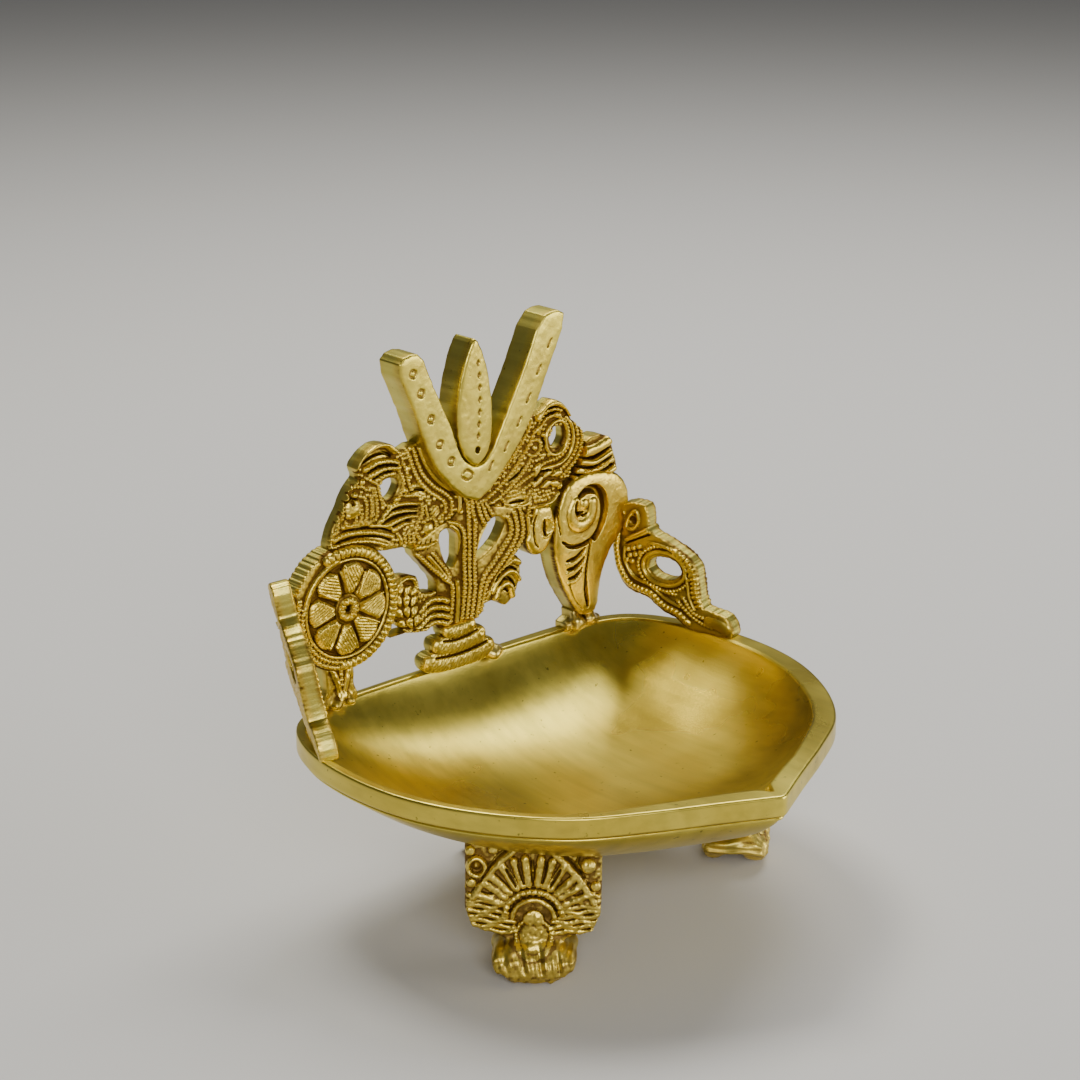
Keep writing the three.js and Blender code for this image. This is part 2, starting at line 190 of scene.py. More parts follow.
def surface(field, low, step):
    """Vertices and quads of the surface where a sampled field, negative inside, is zero."""
    inside = field < 0
    corners = np.array([[i, j, k] for i in (0, 1) for j in (0, 1) for k in (0, 1)])
    size = np.array(field.shape) - 1
    count = sum(
        inside[i : i + size[0], j : j + size[1], k : k + size[2]].astype(np.int8)
        for i, j, k in corners
    )
    active = (count > 0) & (count < 8)
    cells = np.argwhere(active)
    number = np.full(active.shape, -1, np.int32)
    number[active] = np.arange(len(cells))
    values = [field[tuple((cells + corner).T)] for corner in corners]
    total = np.zeros((len(cells), 3))
    hits = np.zeros(len(cells))
    for a in range(8):
        for b in range(a + 1, 8):
            if np.abs(corners[a] - corners[b]).sum() != 1:
                continue
            crossed = (values[a] < 0) != (values[b] < 0)
            share = values[a][crossed] / (values[a][crossed] - values[b][crossed])
            total[crossed] += corners[a] + share[:, None] * (corners[b] - corners[a])
            hits[crossed] += 1
    points = np.array(low) + (cells + total / hits[:, None]) * step
    quads = []
    for axis in range(3):
        one, two = [a for a in range(3) if a != axis]
        ahead = np.roll(inside, -1, axis)
        crossed = inside != ahead
        edge = [slice(1, -1)] * 3
        edge[axis] = slice(0, -1)
        where = np.argwhere(crossed[tuple(edge)])
        where[:, one] += 1
        where[:, two] += 1
        around = []
        for d_one, d_two in ((-1, -1), (0, -1), (0, 0), (-1, 0)):
            cell = where.copy()
            cell[:, one] += d_one
            cell[:, two] += d_two
            around.append(number[tuple(cell.T)])
        quad = np.stack(around, 1)
        out = inside[tuple(where.T)]
        if axis == 1:
            out = ~out
        quad[~out] = quad[~out][:, ::-1]
        quads.append(quad)
    return points, np.vstack(quads)


# ---------------------------------------------------------------- castings with relief


def matrix(*columns):
    """A frame from its three axes and its origin."""
    return Matrix([[c[r] for c in columns] for r in range(3)] + [[0, 0, 0, 1]])


def plate_frame():
    """From x, height above the rim and distance in front of the plate's back, to the lamp's frame."""
    return Matrix(((1, 0, 0, 0), (0, 0, -1, PLATE_BACK), (0, 1, 0, RIM_TOP), (0, 0, 0, 1)))


def wing_frame(side):
    """From distance along the wing, height above the rim and distance out, to the lamp's frame."""
    wing = WINGS[side]
    turn, lean = math.radians(wing["turn"]), math.radians(wing["lean"])
    along = Vector((side * math.sin(turn), -math.cos(turn), 0))
    level = Vector((side * math.cos(turn), math.sin(turn), 0))
    up = Vector((0, 0, math.cos(lean))) + level * math.sin(lean)
    out = level * math.cos(lean) - Vector((0, 0, math.sin(lean)))
    root = Vector((side * wing["root"][0], wing["root"][1], RIM_TOP)) - out * WING_THICKNESS / 2
    return matrix(along * wing["length"], up * wing["height"], out, root)


def leg_frame(node):
    """From sideways, height and outward distance on a leg's shell face, to the lamp's frame."""
    facing = math.radians(LEG_FACINGS[node])
    out = Vector((math.cos(facing), math.sin(facing), 0))
    side = Vector((-out.y, out.x, 0))
    root = Vector((*LEG_PLACES[node], 0)) - out * LEG_THICKNESS / 2
    return matrix(side, Vector((0, 0, 1)), out, root)


def cad_outline(node, place):
    """The edges of a CAD node's back face, in the casting's own plane, in millimetres."""
    mesh = frame["nodes"][node].data
    mesh.calc_loop_triangles()
    local = np.array(place.inverted())
    points = np.array([[*v.co, MM] for v in mesh.vertices]) / MM @ local.T
    back = points[:, 2].min() + 0.02
    edges = {}
    for triangle in mesh.loop_triangles:
        corner = points[list(triangle.vertices)]
        if corner[:, 2].max() > back:
            continue
        keys = [tuple(np.round(c[:2], 2)) for c in corner]
        for a, b in ((0, 1), (1, 2), (2, 0)):
            key = frozenset((keys[a], keys[b]))
            edges[key] = None if key in edges else (corner[a][:2], corner[b][:2])
    return np.array([e for e in edges.values() if e is not None])


def distance_to(segments, u, v):
    """Signed distance from each grid point to an outline of loose segments, negative inside."""
    nearest = np.full(u.shape, 1e9)
    inside = np.zeros(u.shape, bool)
    for (au, av), (bu, bv) in segments:
        du, dv = bu - au, bv - av
        length = max(du * du + dv * dv, 1e-12)
        t = np.clip(((u - au) * du + (v - av) * dv) / length, 0, 1)
        nearest = np.minimum(nearest, (u - au - t * du) ** 2 + (v - av - t * dv) ** 2)
        if av != bv:
            crosses = (av > v) != (bv > v)
            inside ^= crosses & (u < au + (v - av) * du / dv)
    nearest = np.sqrt(nearest)
    return np.where(inside, -nearest, nearest)


def loop(points):
    """A closed outline as loose segments."""
    p = np.array(points, float)
    return np.stack([p, np.roll(p, -1, 0)], 1)


class Casting:
    """A cast piece drawn in its own plane: an outline with relief on its front and rear faces.

    thickness and the grid's step are in millimetres, and seed sets how the mould's grain falls.
    The relief is drawn in order: ridges rise to the highest of what is there, grooves cut into it.
    """

    def __init__(self, node, thickness, step, seed, place=None, outline=None, reach=()):
        self.node, self.thickness, self.step = node, thickness, step
        self.place = plate_frame() if place is None else place
        segments = cad_outline(node, self.place) if outline is None else loop(outline)
        spots = [*segments.reshape(-1, 2), *np.array(reach, float).reshape(-1, 2)]
        low = np.min(spots, axis=0) - MARGIN
        high = np.max(spots, axis=0) + MARGIN
        self.puddles, self.seed, self.low, self.draft = [], seed, low, 0.0
        count = np.ceil((high - low) / step).astype(int)
        u, v = (low[k] + np.arange(count[k]) * step for k in (0, 1))
        self.u, self.v = np.meshgrid(u, v, indexing="ij")
        self.edge = distance_to(segments, self.u, self.v) - FUSE
        self.edge += UNEVEN_EDGE * smooth_noise(self.u.shape, 1.1 / step, seed)
        self.height = np.zeros(self.u.shape)
        self.rear = np.zeros(self.u.shape)

    def near(self, path):
        """Distance to a path, the length along it, and the side of it, at every grid point nearby."""
        steps = np.diff(path, axis=0)
        along = np.concatenate([[0], np.cumsum(np.linalg.norm(steps, axis=1))])
        best = np.full(self.u.shape, 1e9)
        at = np.zeros(self.u.shape)
        side = np.zeros(self.u.shape)
        low = ((path.min(0) - REACH - self.low) / self.step).astype(int).clip(0)
        high = ((path.max(0) + REACH - self.low) / self.step).astype(int).clip(0) + 1
        window = (slice(low[0], high[0]), slice(low[1], high[1]))
        u, v = self.u[window], self.v[window]
        near, place, hand = best[window], at[window], side[window]
        headings = np.vstack([steps, steps[-1:]])
        for (pu, pv), (du, dv), s in zip(path, headings, along):
            gap = (u - pu) ** 2 + (v - pv) ** 2
            closer = gap < near
            near[closer] = gap[closer]
            place[closer] = s
            hand[closer] = np.sign((u - pu) * dv - (v - pv) * du)[closer]
        best[window] = np.sqrt(near)
        return best, at, along[-1], side

    def raise_to(self, level, where):
        """Relief adds up to its highest part, so that crossing rows stay crisp."""
        self.height = np.where(where, np.maximum(self.height, level), self.height)

    def ridge(self, points, width, height, level=0.0, beads=0.0, core=0.55, closed=False, taper=False):
        """A raised line along a curve, plain or as a row of beads that are that far apart."""
        distance, at, length, _ = self.near(curve(points, closed))
        half = width / 2
        if taper:
            half = half * (0.3 + 0.7 * np.sqrt(np.clip(1 - at / length, 0, 1)))
        across = (distance / half) ** 2
        line = np.sqrt(np.clip(1 - across, 0, 1))
        rise = height * line
        if beads:
            pitch = length / max(1, round(length / beads))
            along = (2 * (at / pitch - np.floor(at / pitch)) - 1) ** 2
            bead = np.sqrt(np.clip(1 - across - along, 0, 1))
            rise = height * np.maximum(core * line, bead)
        self.raise_to(level + rise, distance < half)

    def rows(self, look, *paths):
        """Ridges of one kind along several curves."""
        for path in paths:
            self.ridge(path, **look)

    def rope(self, points, width, height, pitch):
        """A raised cord of strands."""
        distance, at, _, _ = self.near(curve(points))
        line = np.sqrt(np.clip(1 - (2 * distance / width) ** 2, 0, 1))
        strand = np.abs(np.sin(np.pi * at / pitch))
        self.raise_to(height * line * (0.45 + 0.55 * strand**0.6), distance < width / 2)

    def groove(self, points, width, depth, closed=False, taper=False):
        """A cut along a curve, deepest in its middle."""
        distance, at, length, _ = self.near(curve(points, closed))
        half = width / 2
        if taper:
            share = np.clip(at / length, 0, 1)
            half = half * (0.25 + 0.75 * np.sqrt(np.sin(np.pi * (0.04 + 0.92 * share))))
        self.height -= depth * np.clip(1 - (distance / half) ** 2, 0, 1)

    def cuts(self, width, depth, *paths):
        """Grooves that narrow to a point at both ends."""
        for path in paths:
            self.groove(path, width, depth, taper=True)

    def petal(self, cu, cv, angle, start, end, width, height):
        """A raised petal that is widest near its outer end."""
        c, s = math.cos(math.radians(angle)), math.sin(math.radians(angle))
        along = (self.u - cu) * c + (self.v - cv) * s
        across = -(self.u - cu) * s + (self.v - cv) * c
        share = np.clip((along - start) / (end - start), 0, 1)
        half = width / 2 * np.sin(np.pi * share**1.5) ** 0.6 + 1e-6
        dome = np.sqrt(np.clip(1 - (across / half) ** 2, 0, 1))
        self.raise_to(height * dome**0.6, (np.abs(across) < half) & (share > 0) & (share < 1))

    def pillow(self, height, reach):
        """The whole face swells away from its edge."""
        deep = np.clip(-self.edge / reach, 0, 1)
        self.height += height * np.sqrt(1 - (1 - deep) ** 2)

    def dots(self, places, radius, height, level=0.0):
        """Round bosses, or dimples where the height is negative."""
        for pu, pv in places:
            gap = ((self.u - pu) ** 2 + (self.v - pv) ** 2) / radius**2
            dome = np.sqrt(np.clip(1 - gap, 0, 1))
            if height > 0:
                self.raise_to(level + height * dome, gap < 1)
            else:
                self.height += height * dome

    def granulate(self, pitch, radius, height):
        """Small grains scattered over the parts of the face that are bare all round."""
        rng = np.random.default_rng(self.seed + 60)
        busy = blurred((np.abs(self.height) > 0.34).astype(float), int(0.5 / self.step)) > 0.16
        columns, lines = (int(n * self.step / pitch) for n in self.u.shape)
        for i in range(1, columns):
            for j in range(1, lines):
                pu, pv = self.low + (np.array([i + 0.5 * (j % 2), j]) + rng.uniform(-0.2, 0.2, 2)) * pitch
                cell = int((pu - self.low[0]) / self.step), int((pv - self.low[1]) / self.step)
                cell = min(cell[0], self.u.shape[0] - 1), min(cell[1], self.u.shape[1] - 1)
                if busy[cell] or self.edge[cell] > -0.2:
                    continue
                reach = int(radius / self.step) + 2
                part = tuple(slice(max(0, c - reach), c + reach) for c in cell)
                gap = ((self.u[part] - pu) ** 2 + (self.v[part] - pv) ** 2) / radius**2
                grain = height * np.sqrt(np.clip(1 - gap, 0, 1))
                self.height[part] = np.maximum(self.height[part], grain)

    def diamonds(self, places, half_width, half_height, depth):
        """Struck dimples with four sides."""
        for pu, pv in places:
            reach = np.abs(self.u - pu) / half_width + np.abs(self.v - pv) / half_height
            self.height -= depth * np.clip(1 - reach, 0, 1) ** 0.8

    def roughen(self, amount, cell=0.5):
        """The grain that the sand mould leaves."""
        for share, size, seed in ((0.6, cell, 11), (0.4, cell * 2.6, 12)):
            noise = smooth_noise(self.u.shape, max(size / self.step, 1.5), self.seed + seed)
            self.height += amount * share * noise

    def solid(self, low, high):
        """The sampled solid between two depths, negative inside, and the depths of its layers."""
        w = np.arange(low, high, self.step)
        back = self.rear + UNEVEN_BACK * smooth_noise(self.u.shape, 1.4 / self.step, self.seed + 5)
        front = self.thickness + self.height
        slab = soft_max(w[None, None, :] - front[:, :, None], -w[None, None, :] - back[:, :, None], ROUND)
        walls = self.edge[:, :, None] + self.draft * np.clip(self.thickness - w, 0, None)
        made = soft_max(walls, slab, ROUND)
        for pu, pv, pw, radius in self.puddles:
            gap = (self.u - pu) ** 2 + (self.v - pv) ** 2
            blob = np.sqrt(gap[:, :, None] + (w - pw) ** 2) - radius
            made = -soft_max(-made, -blob, 0.8)
        return made, w

    def build(self, extra=None, depth=(0.0, 0.0)):
        """The finished mesh object. extra shapes the sampled solid further before it is meshed."""
        below = min(depth[0], -max(self.rear.max(), 0)) - 3 * self.step
        reach = [self.height.max()] + [p[2] + p[3] - self.thickness for p in self.puddles]
        above = self.thickness + max(depth[1], *reach) + 3 * self.step
        solid, w = self.solid(below, above)
        if extra is not None:
            solid = extra(self, solid, w)
        points, quads = surface(solid, (*self.low, w[0]), self.step)
        i = np.clip(np.round((points[:, 0] - self.low[0]) / self.step).astype(int), 0, self.u.shape[0] - 1)
        j = np.clip(np.round((points[:, 1] - self.low[1]) / self.step).astype(int), 0, self.u.shape[1] - 1)
        share = np.clip(points[:, 2] / self.thickness, 0, 1)
        # raised relief is rubbed bright; hollows keep their patina and are darkened further as painted
        # shade, the deeper below their surroundings the darker
        wear_and_cavity_shade = np.full(len(points), 0.5)
        cells = max(1, int(WEAR_AND_SHADE_BLUR / self.step))
        for face, facing in ((self.height, (share - 0.7) / 0.2), (self.rear, (0.3 - share) / 0.2)):
            wide = blurred(face, 2 * cells)
            relief = (face - 0.5 * blurred(face, cells) - 0.5 * wide) / WEAR_AND_SHADE_RELIEF
            wear_and_cavity_shade += 0.5 * np.clip(relief[i, j], -1, 1) * np.clip(facing, 0, 1)
        # the middle of each side wall, which the material tints greener as a painted reflection
        side = np.clip((0.5 - np.abs(share - 0.42)) / 0.2 - 0.6, 0, 1)
        world = np.c_[points, np.ones(len(points))] @ np.array(self.place).T
        if self.place.to_3x3().determinant() < 0:
            quads = quads[:, ::-1]
        add_piece(self.node + "_cast", self.node, world[:, :3], quads, wear_and_cavity_shade, side)


def add_piece(name, node, points, quads, wear_and_cavity_shade, side=None):
    """A mesh object that stands for one CAD node, its points in millimetres."""
    mesh = bpy.data.meshes.new(name)
    mesh.vertices.add(len(points))
    mesh.vertices.foreach_set("co", (points * MM).astype(np.float32).ravel())
    mesh.loops.add(quads.size)
    mesh.loops.foreach_set("vertex_index", quads.astype(np.int32).ravel())
    mesh.polygons.add(len(quads))
    mesh.polygons.foreach_set("loop_start", np.arange(0, quads.size, 4, dtype=np.int32))
    mesh.polygons.foreach_set("use_smooth", np.ones(len(quads), bool))
    mesh.update(calc_edges=True)
    mesh.validate()
    side = np.zeros(len(points)) if side is None else side
    # the first value darkens hollows with patina and painted shade; the second marks side walls for a
    # greener painted reflection tint
    for label, values in (("wear_and_cavity_shade", wear_and_cavity_shade), ("side", side)):
        attribute = mesh.attributes.new(label, "FLOAT", "POINT")
        attribute.data.foreach_set("value", values.astype(np.float32))
    piece = bpy.data.objects.new(name, mesh)
    bpy.context.scene.collection.objects.link(piece)
    piece.data.materials.append(materials[SLOTS[node]])
    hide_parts(node)
    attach(piece, BODY)


# ---------------------------------------------------------------- materials


def brass(name, bright, dull, patina_and_shade, flank, roughness, marks, grain, pits):
    """Brass rubbed bright on its raised parts, tinted greener on its filed side walls as a painted
    reflection, brown in its hollows from patina and painted shade.
    """
    material = bpy.data.materials.new(name)
    material.use_nodes = True
    tree = material.node_tree
    tree.nodes.clear()
    link = tree.links.new

    def node(kind, **values):
        made = tree.nodes.new(kind)
        for key, value in values.items():
            setattr(made, key, value)
        return made

    def ramp(source, stops):
        made = node("ShaderNodeValToRGB")
        elements = made.color_ramp.elements
        while len(elements) < len(stops):
            elements.new(0.5)
        for element, (at, color) in zip(elements, stops):
            element.position = at
            element.color = (*color, 1) if isinstance(color, tuple) else (color, color, color, 1)
        link(source, made.inputs["Fac"])
        return made.outputs["Color"]

    def noise(scale, detail, stretch=None):
        made = node("ShaderNodeTexNoise")
        made.inputs["Scale"].default_value = scale
        made.inputs["Detail"].default_value = detail
        source = coordinates.outputs["Object"]
        if stretch:
            mapping = node("ShaderNodeMapping")
            mapping.inputs["Rotation"].default_value = stretch[0]
            mapping.inputs["Scale"].default_value = stretch[1]
            link(source, mapping.inputs["Vector"])
            source = mapping.outputs["Vector"]
        link(source, made.inputs["Vector"])
        return made.outputs["Fac"]

    def mix(factor, a, b):
        made = node("ShaderNodeMix", data_type="RGBA")
        link(factor, made.inputs["Factor"])
        for value, socket in ((a, made.inputs["A"]), (b, made.inputs["B"])):
            if isinstance(value, tuple):
                socket.default_value = (*value, 1)
            else:
                link(value, socket)
        return made.outputs["Result"]

    def math_node(operation, a, b):
        made = node("ShaderNodeMath", operation=operation)
        for value, socket in ((a, made.inputs[0]), (b, made.inputs[1])):
            if isinstance(value, (int, float)):
                socket.default_value = value
            else:
                link(value, socket)
        return made.outputs[0]

    def darkened(color, by):
        made = node("ShaderNodeMix", data_type="RGBA", blend_type="MULTIPLY")
        made.inputs["Factor"].default_value = 1.0
        link(color, made.inputs["A"])
        link(by, made.inputs["B"])
        return made.outputs["Result"]

    coordinates = node("ShaderNodeTexCoord")
    wear_and_cavity_shade = node("ShaderNodeAttribute", attribute_name="wear_and_cavity_shade").outputs["Fac"]
    stain = noise(160, 4)
    cloud = noise(38, 3)
    wear_and_shade_level = math_node("ADD", wear_and_cavity_shade, math_node("MULTIPLY", math_node("SUBTRACT", stain, 0.5), 0.5))
    cloudy = ramp(cloud, [(0.35, dull), (0.65, bright)])
    # side walls are mixed towards the greener flank colour, a painted reflection
    flank_reflection = node("ShaderNodeAttribute", attribute_name="side").outputs["Fac"]
    cloudy = mix(math_node("MULTIPLY", flank_reflection, 0.7), cloudy, flank)
    # low relief and hollows take the patina colour, which is both real patina and painted shade
    shade = mix(ramp(wear_and_shade_level, [(0.20, 0.0), (0.55, 1.0)]), patina_and_shade, cloudy)
    spots = ramp(noise(900, 2), [(0.0, 1.0), (0.70, 1.0), (0.76, pits)])
    scratches = noise(420, 3, stretch=((0.3, 0.2, 0.6), (1.0, 0.06, 1.0)))
    streaks = ramp(scratches, [(0.3, 1.0 - 0.16 * marks), (0.6, 1.0)])
    shader = node("ShaderNodeBsdfPrincipled")
    shader.inputs["Metallic"].default_value = 1.0
    link(darkened(darkened(shade, spots), streaks), shader.inputs["Base Color"])
    worn = ramp(wear_and_shade_level, [(0.15, min(1.0, roughness + 0.24)), (0.6, roughness)])
    uneven = math_node("MULTIPLY", math_node("SUBTRACT", cloud, 0.5), 0.22)
    link(math_node("ADD", worn, uneven), shader.inputs["Roughness"])

    height = math_node("MULTIPLY", scratches, marks)
    for source, amount in ((noise(2600, 2), grain), (spots, 0.35)):
        height = math_node("ADD", height, math_node("MULTIPLY", source, amount))
    bump = node("ShaderNodeBump")
    bump.inputs["Strength"].default_value = 0.6
    bump.inputs["Distance"].default_value = 0.00008
    link(height, bump.inputs["Height"])
    link(bump.outputs["Normal"], shader.inputs["Normal"])
    output = node("ShaderNodeOutputMaterial")
    link(shader.outputs["BSDF"], output.inputs["Surface"])
    return material


# bright, dull, patina and painted shade in hollows, greener side-wall tint as painted reflection, roughness,
# file marks, grain, darkness of pits
BRASSES = {
    "satin_brass": (
        (0.76, 0.62, 0.10), (0.62, 0.47, 0.06), (0.36, 0.24, 0.05), (0.62, 0.56, 0.12),
        0.30, 1.0, 0.25, 0.45,
    ),
    "cast_brass": (
        (0.84, 0.64, 0.11), (0.68, 0.48, 0.06), (0.13, 0.065, 0.010), (0.60, 0.55, 0.12),
        0.33, 0.5, 0.9, 0.6,
    ),
    "leg_brass": (
        (0.84, 0.65, 0.13), (0.70, 0.51, 0.08), (0.22, 0.13, 0.03), (0.62, 0.52, 0.12),
        0.36, 0.8, 0.8, 0.6,
    ),
    "braze_brass": (
        (0.82, 0.66, 0.18), (0.64, 0.46, 0.09), (0.16, 0.09, 0.02), (0.62, 0.52, 0.12),
        0.30, 0.3, 0.7, 0.5,
    ),
}
materials = {name: brass(name, *look) for name, look in BRASSES.items()}


# ---------------------------------------------------------------- bowl

BOWL_CENTRE = (0.0, 3.0)
BELLY_RADIUS = 43.0
BAND = 4.0  # upright band under the rim's top face
BELLY_DEPTH = 14.2
CAVITY_DEPTH = 16.0
BELLY_INSET = 0.97  # the belly's share of the outline where it meets the band
RING_DROP = 0.95  # the belly starts this far under the band, below a second ring
CAVITY_RINGS = 56
NOTCH_DEPTH = 1.5
NOTCH_ANGLE = 0.045  # half of the angle that the notch takes from the middle, in radians


def bowl_outline(count=480):
    """Angle, radius and lean of the rim's outline, seen from the bowl's middle, from tip to tip."""
    mesh = frame["nodes"]["bowl"].data
    points = np.array([v.co for v in mesh.vertices]) / MM
    points = points[np.abs(points[:, 2] - (RIM_TOP - BAND)) < 0.02][:, :2] - BOWL_CENTRE
    radius = np.linalg.norm(points, axis=1)
    angle = np.mod(np.arctan2(points[:, 1], points[:, 0]) + np.pi / 2 + 1e-4, 2 * np.pi)
    outermost = {}
    for a, r in zip(np.round(angle, 3), radius):
        outermost[a] = max(r, outermost.get(a, 0))
    angles = np.array(sorted(outermost))
    radii = np.array([outermost[a] for a in angles])
    turn = angles - np.pi / 2
    ring = np.stack([radii * np.cos(turn), radii * np.sin(turn)], 1)
    line = curve(np.vstack([ring, ring[:1]]), step=0.25)
    along = np.concatenate([[0], np.cumsum(np.linalg.norm(np.diff(line, axis=0), axis=1))])
    spots = np.linspace(0, along[-1], count, endpoint=False)
    x, y = (np.interp(spots, along, line[:, k]) for k in (0, 1))
    for _ in range(3):
        x, y = ((np.roll(a, 1) + 2 * a + np.roll(a, -1)) / 4 for a in (x, y))
    dx, dy = (np.roll(a, -1) - np.roll(a, 1) for a in (x, y))
    radius = np.hypot(x, y)
    lean = (dy * x - dx * y) / (np.hypot(dx, dy) * radius)
    return np.arctan2(y, x), radius, lean


bowl_angle, bowl_radius, bowl_lean = bowl_outline()


def rim_width(x, y):
    """The top face is wider on the right and at the spout than on the left and at the back."""

    def ramp(value, low, high):
        t = np.clip((value - low) / (high - low), 0, 1)
        return t * t * (3 - 2 * t)

    rightness = ramp(x, -25, 35) * (1 - 0.6 * np.maximum(y, 0) / 44)
    return 2 + 2.3 * np.maximum(rightness, 1 - ramp(y, -44, -20))


def belly_curve(share):
    """The belly's depth, from 1 at its middle to 0 where it meets the band."""
    return (1 - share**2.4) ** 0.75


def belly_height(x, y):
    """Height of the bowl's underside above the floor, at points within the outline."""
    x, y = x - BOWL_CENTRE[0], y - BOWL_CENTRE[1]
    order = np.argsort(bowl_angle)
    full = np.interp(np.arctan2(y, x), bowl_angle[order], bowl_radius[order], period=2 * np.pi)
    radius = np.minimum(np.hypot(x, y), full * BELLY_INSET)
    lead = full - BELLY_RADIUS
    steep = np.where(np.abs(lead) < 1e-3, 1e-3, lead)
    root = np.sqrt(np.maximum(BELLY_RADIUS**2 + 4 * steep * radius, 0))
    share = np.clip((root - BELLY_RADIUS) / (2 * steep) / BELLY_INSET, 0, 1)
    return RIM_TOP - BAND - BELLY_DEPTH * belly_curve(share)


def build_bowl():
    """Belly, second ring, band, flat rim with its pouring notch, and the turned inside."""
    around = len(bowl_angle)
    cos, sin = np.cos(bowl_angle), np.sin(bowl_angle)
    x, y = bowl_radius * cos, bowl_radius * sin + BOWL_CENTRE[1]
    width = rim_width(x, y)
    from_tip = np.abs(np.angle(np.exp(1j * (bowl_angle + np.pi / 2))))
    notch = NOTCH_DEPTH * np.clip(1 - from_tip / NOTCH_ANGLE, 0, 1)
    inner = bowl_radius - (width - notch) / bowl_lean
    rings, wear_and_cavity_shade = [], []

    def add_ring(radius, z, worn):
        rings.append((radius, np.full(around, z)))
        wear_and_cavity_shade.append(np.full(around, worn))

    def rounded(radius, share):
        """A ring that is a share of the way out, the rounder the nearer to the middle."""
        return share * (share * radius + (1 - share) * BELLY_RADIUS)

    for share in np.sin(np.linspace(0.02, 1, 44) * np.pi / 2):
        z = RIM_TOP - BAND - RING_DROP - (BELLY_DEPTH - RING_DROP) * belly_curve(share)
        add_ring(rounded(bowl_radius, share * BELLY_INSET), z, 0.62)
    lip = RIM_TOP - BAND
    # depth inwards, height over the band's lower edge and wear with painted shade (low in the groove, which
    # darkens it): the second ring, a groove, the band
    for depth, z, worn in (
        (1.32, -0.92, 0.25), (1.0, -0.88, 0.5), (0.8, -0.78, 0.85), (0.68, -0.6, 1.0),
        (0.68, -0.42, 1.0), (0.8, -0.24, 0.8), (1.02, -0.12, 0.35), (1.2, -0.06, 0.1),
        (1.2, 0.05, 0.1), (0.9, 0.08, 0.2), (0.45, 0.1, 0.5), (0.16, 0.18, 0.9),
        (0.03, 0.36, 1.0), (0.0, 0.6, 0.8), (0.0, 1.2, 0.6), (0.02, 2.0, 0.6),
        (0.0, 2.8, 0.6), (0.0, 3.4, 0.8), (0.05, 3.72, 1.0), (0.16, 3.9, 1.0), (0.36, 4.0, 0.9),
    ):
        add_ring(bowl_radius - depth / bowl_lean, lip + z, worn)
    for share in np.linspace(0.1, 0.9, 6):
        depth = 0.36 + share * (width - notch - 0.76)
        add_ring(bowl_radius - depth / bowl_lean, RIM_TOP, 0.7)
    for depth, z, worn in ((0.4, 0, 0.9), (0.16, -0.08, 1.0), (0.04, -0.25, 1.0)):
        add_ring(inner + depth / bowl_lean, RIM_TOP + z, worn)
    for share in np.sin(np.linspace(0.955, 0.02, CAVITY_RINGS) * np.pi / 2):
        add_ring(rounded(inner, share), RIM_TOP - CAVITY_DEPTH * (1 - share**2.6) ** 0.8, 0.7)

    points = np.vstack([np.stack([r * cos, r * sin + BOWL_CENTRE[1], z], 1) for r, z in rings])
    # the turned inside rolls a little, as a hand-finished one does
    px, py = points[:, 0], points[:, 1]
    inside = (np.arange(len(points)) > (len(rings) - CAVITY_RINGS + 2) * around).astype(float)
    rolling = np.sin(px / 7.3 + 1.1) * np.cos(py / 6.1) + 0.6 * np.sin(px / 3.9 - py / 4.7)
    reach = np.clip(1 - np.hypot(px, py - 3) / 40, 0, 1)
    points[:, 2] += 0.06 * rolling * reach * inside
    low = np.array([[*BOWL_CENTRE, RIM_TOP - BAND - BELLY_DEPTH]])
    high = np.array([[*BOWL_CENTRE, points[-around:, 2].mean()]])
    points = np.vstack([points, low, high])
    wear_and_cavity_shade = np.concatenate([*wear_and_cavity_shade, [0.62, 0.7]])

    this = np.arange(around)
    following = np.roll(this, -1)
    faces = []
    for ring in range(len(rings) - 1):
        a, b = ring * around, (ring + 1) * around
        faces += zip(a + this, a + following, b + following, b + this)
    low, high = len(points) - 2, len(points) - 1
    last = (len(rings) - 1) * around
    for i in range(0, around, 2):
        one, two, three = i, (i + 1) % around, (i + 2) % around
        faces.append((low, three, two, one))
        faces.append((high, last + one, last + two, last + three))
    add_piece("bowl_turned", "bowl", points, np.array(faces), wear_and_cavity_shade)


build_bowl()


# ---------------------------------------------------------------- back plate

BEAD = {"width": 0.98, "height": 0.8, "beads": 0.84, "core": 0.45}
FINE = {"width": 0.86, "height": 0.74, "beads": 0.76, "core": 0.45}
BAR = {"width": 1.3, "height": 1.1, "beads": 0.95, "core": 0.8}
ARC = {"width": 1.05, "height": 0.85, "beads": 0.75, "core": 0.65}
RIB = {"width": 1.15, "height": 1.0, "beads": 0.8, "core": 0.8, "taper": True}
STRIP = {"width": 0.95, "height": 0.7}

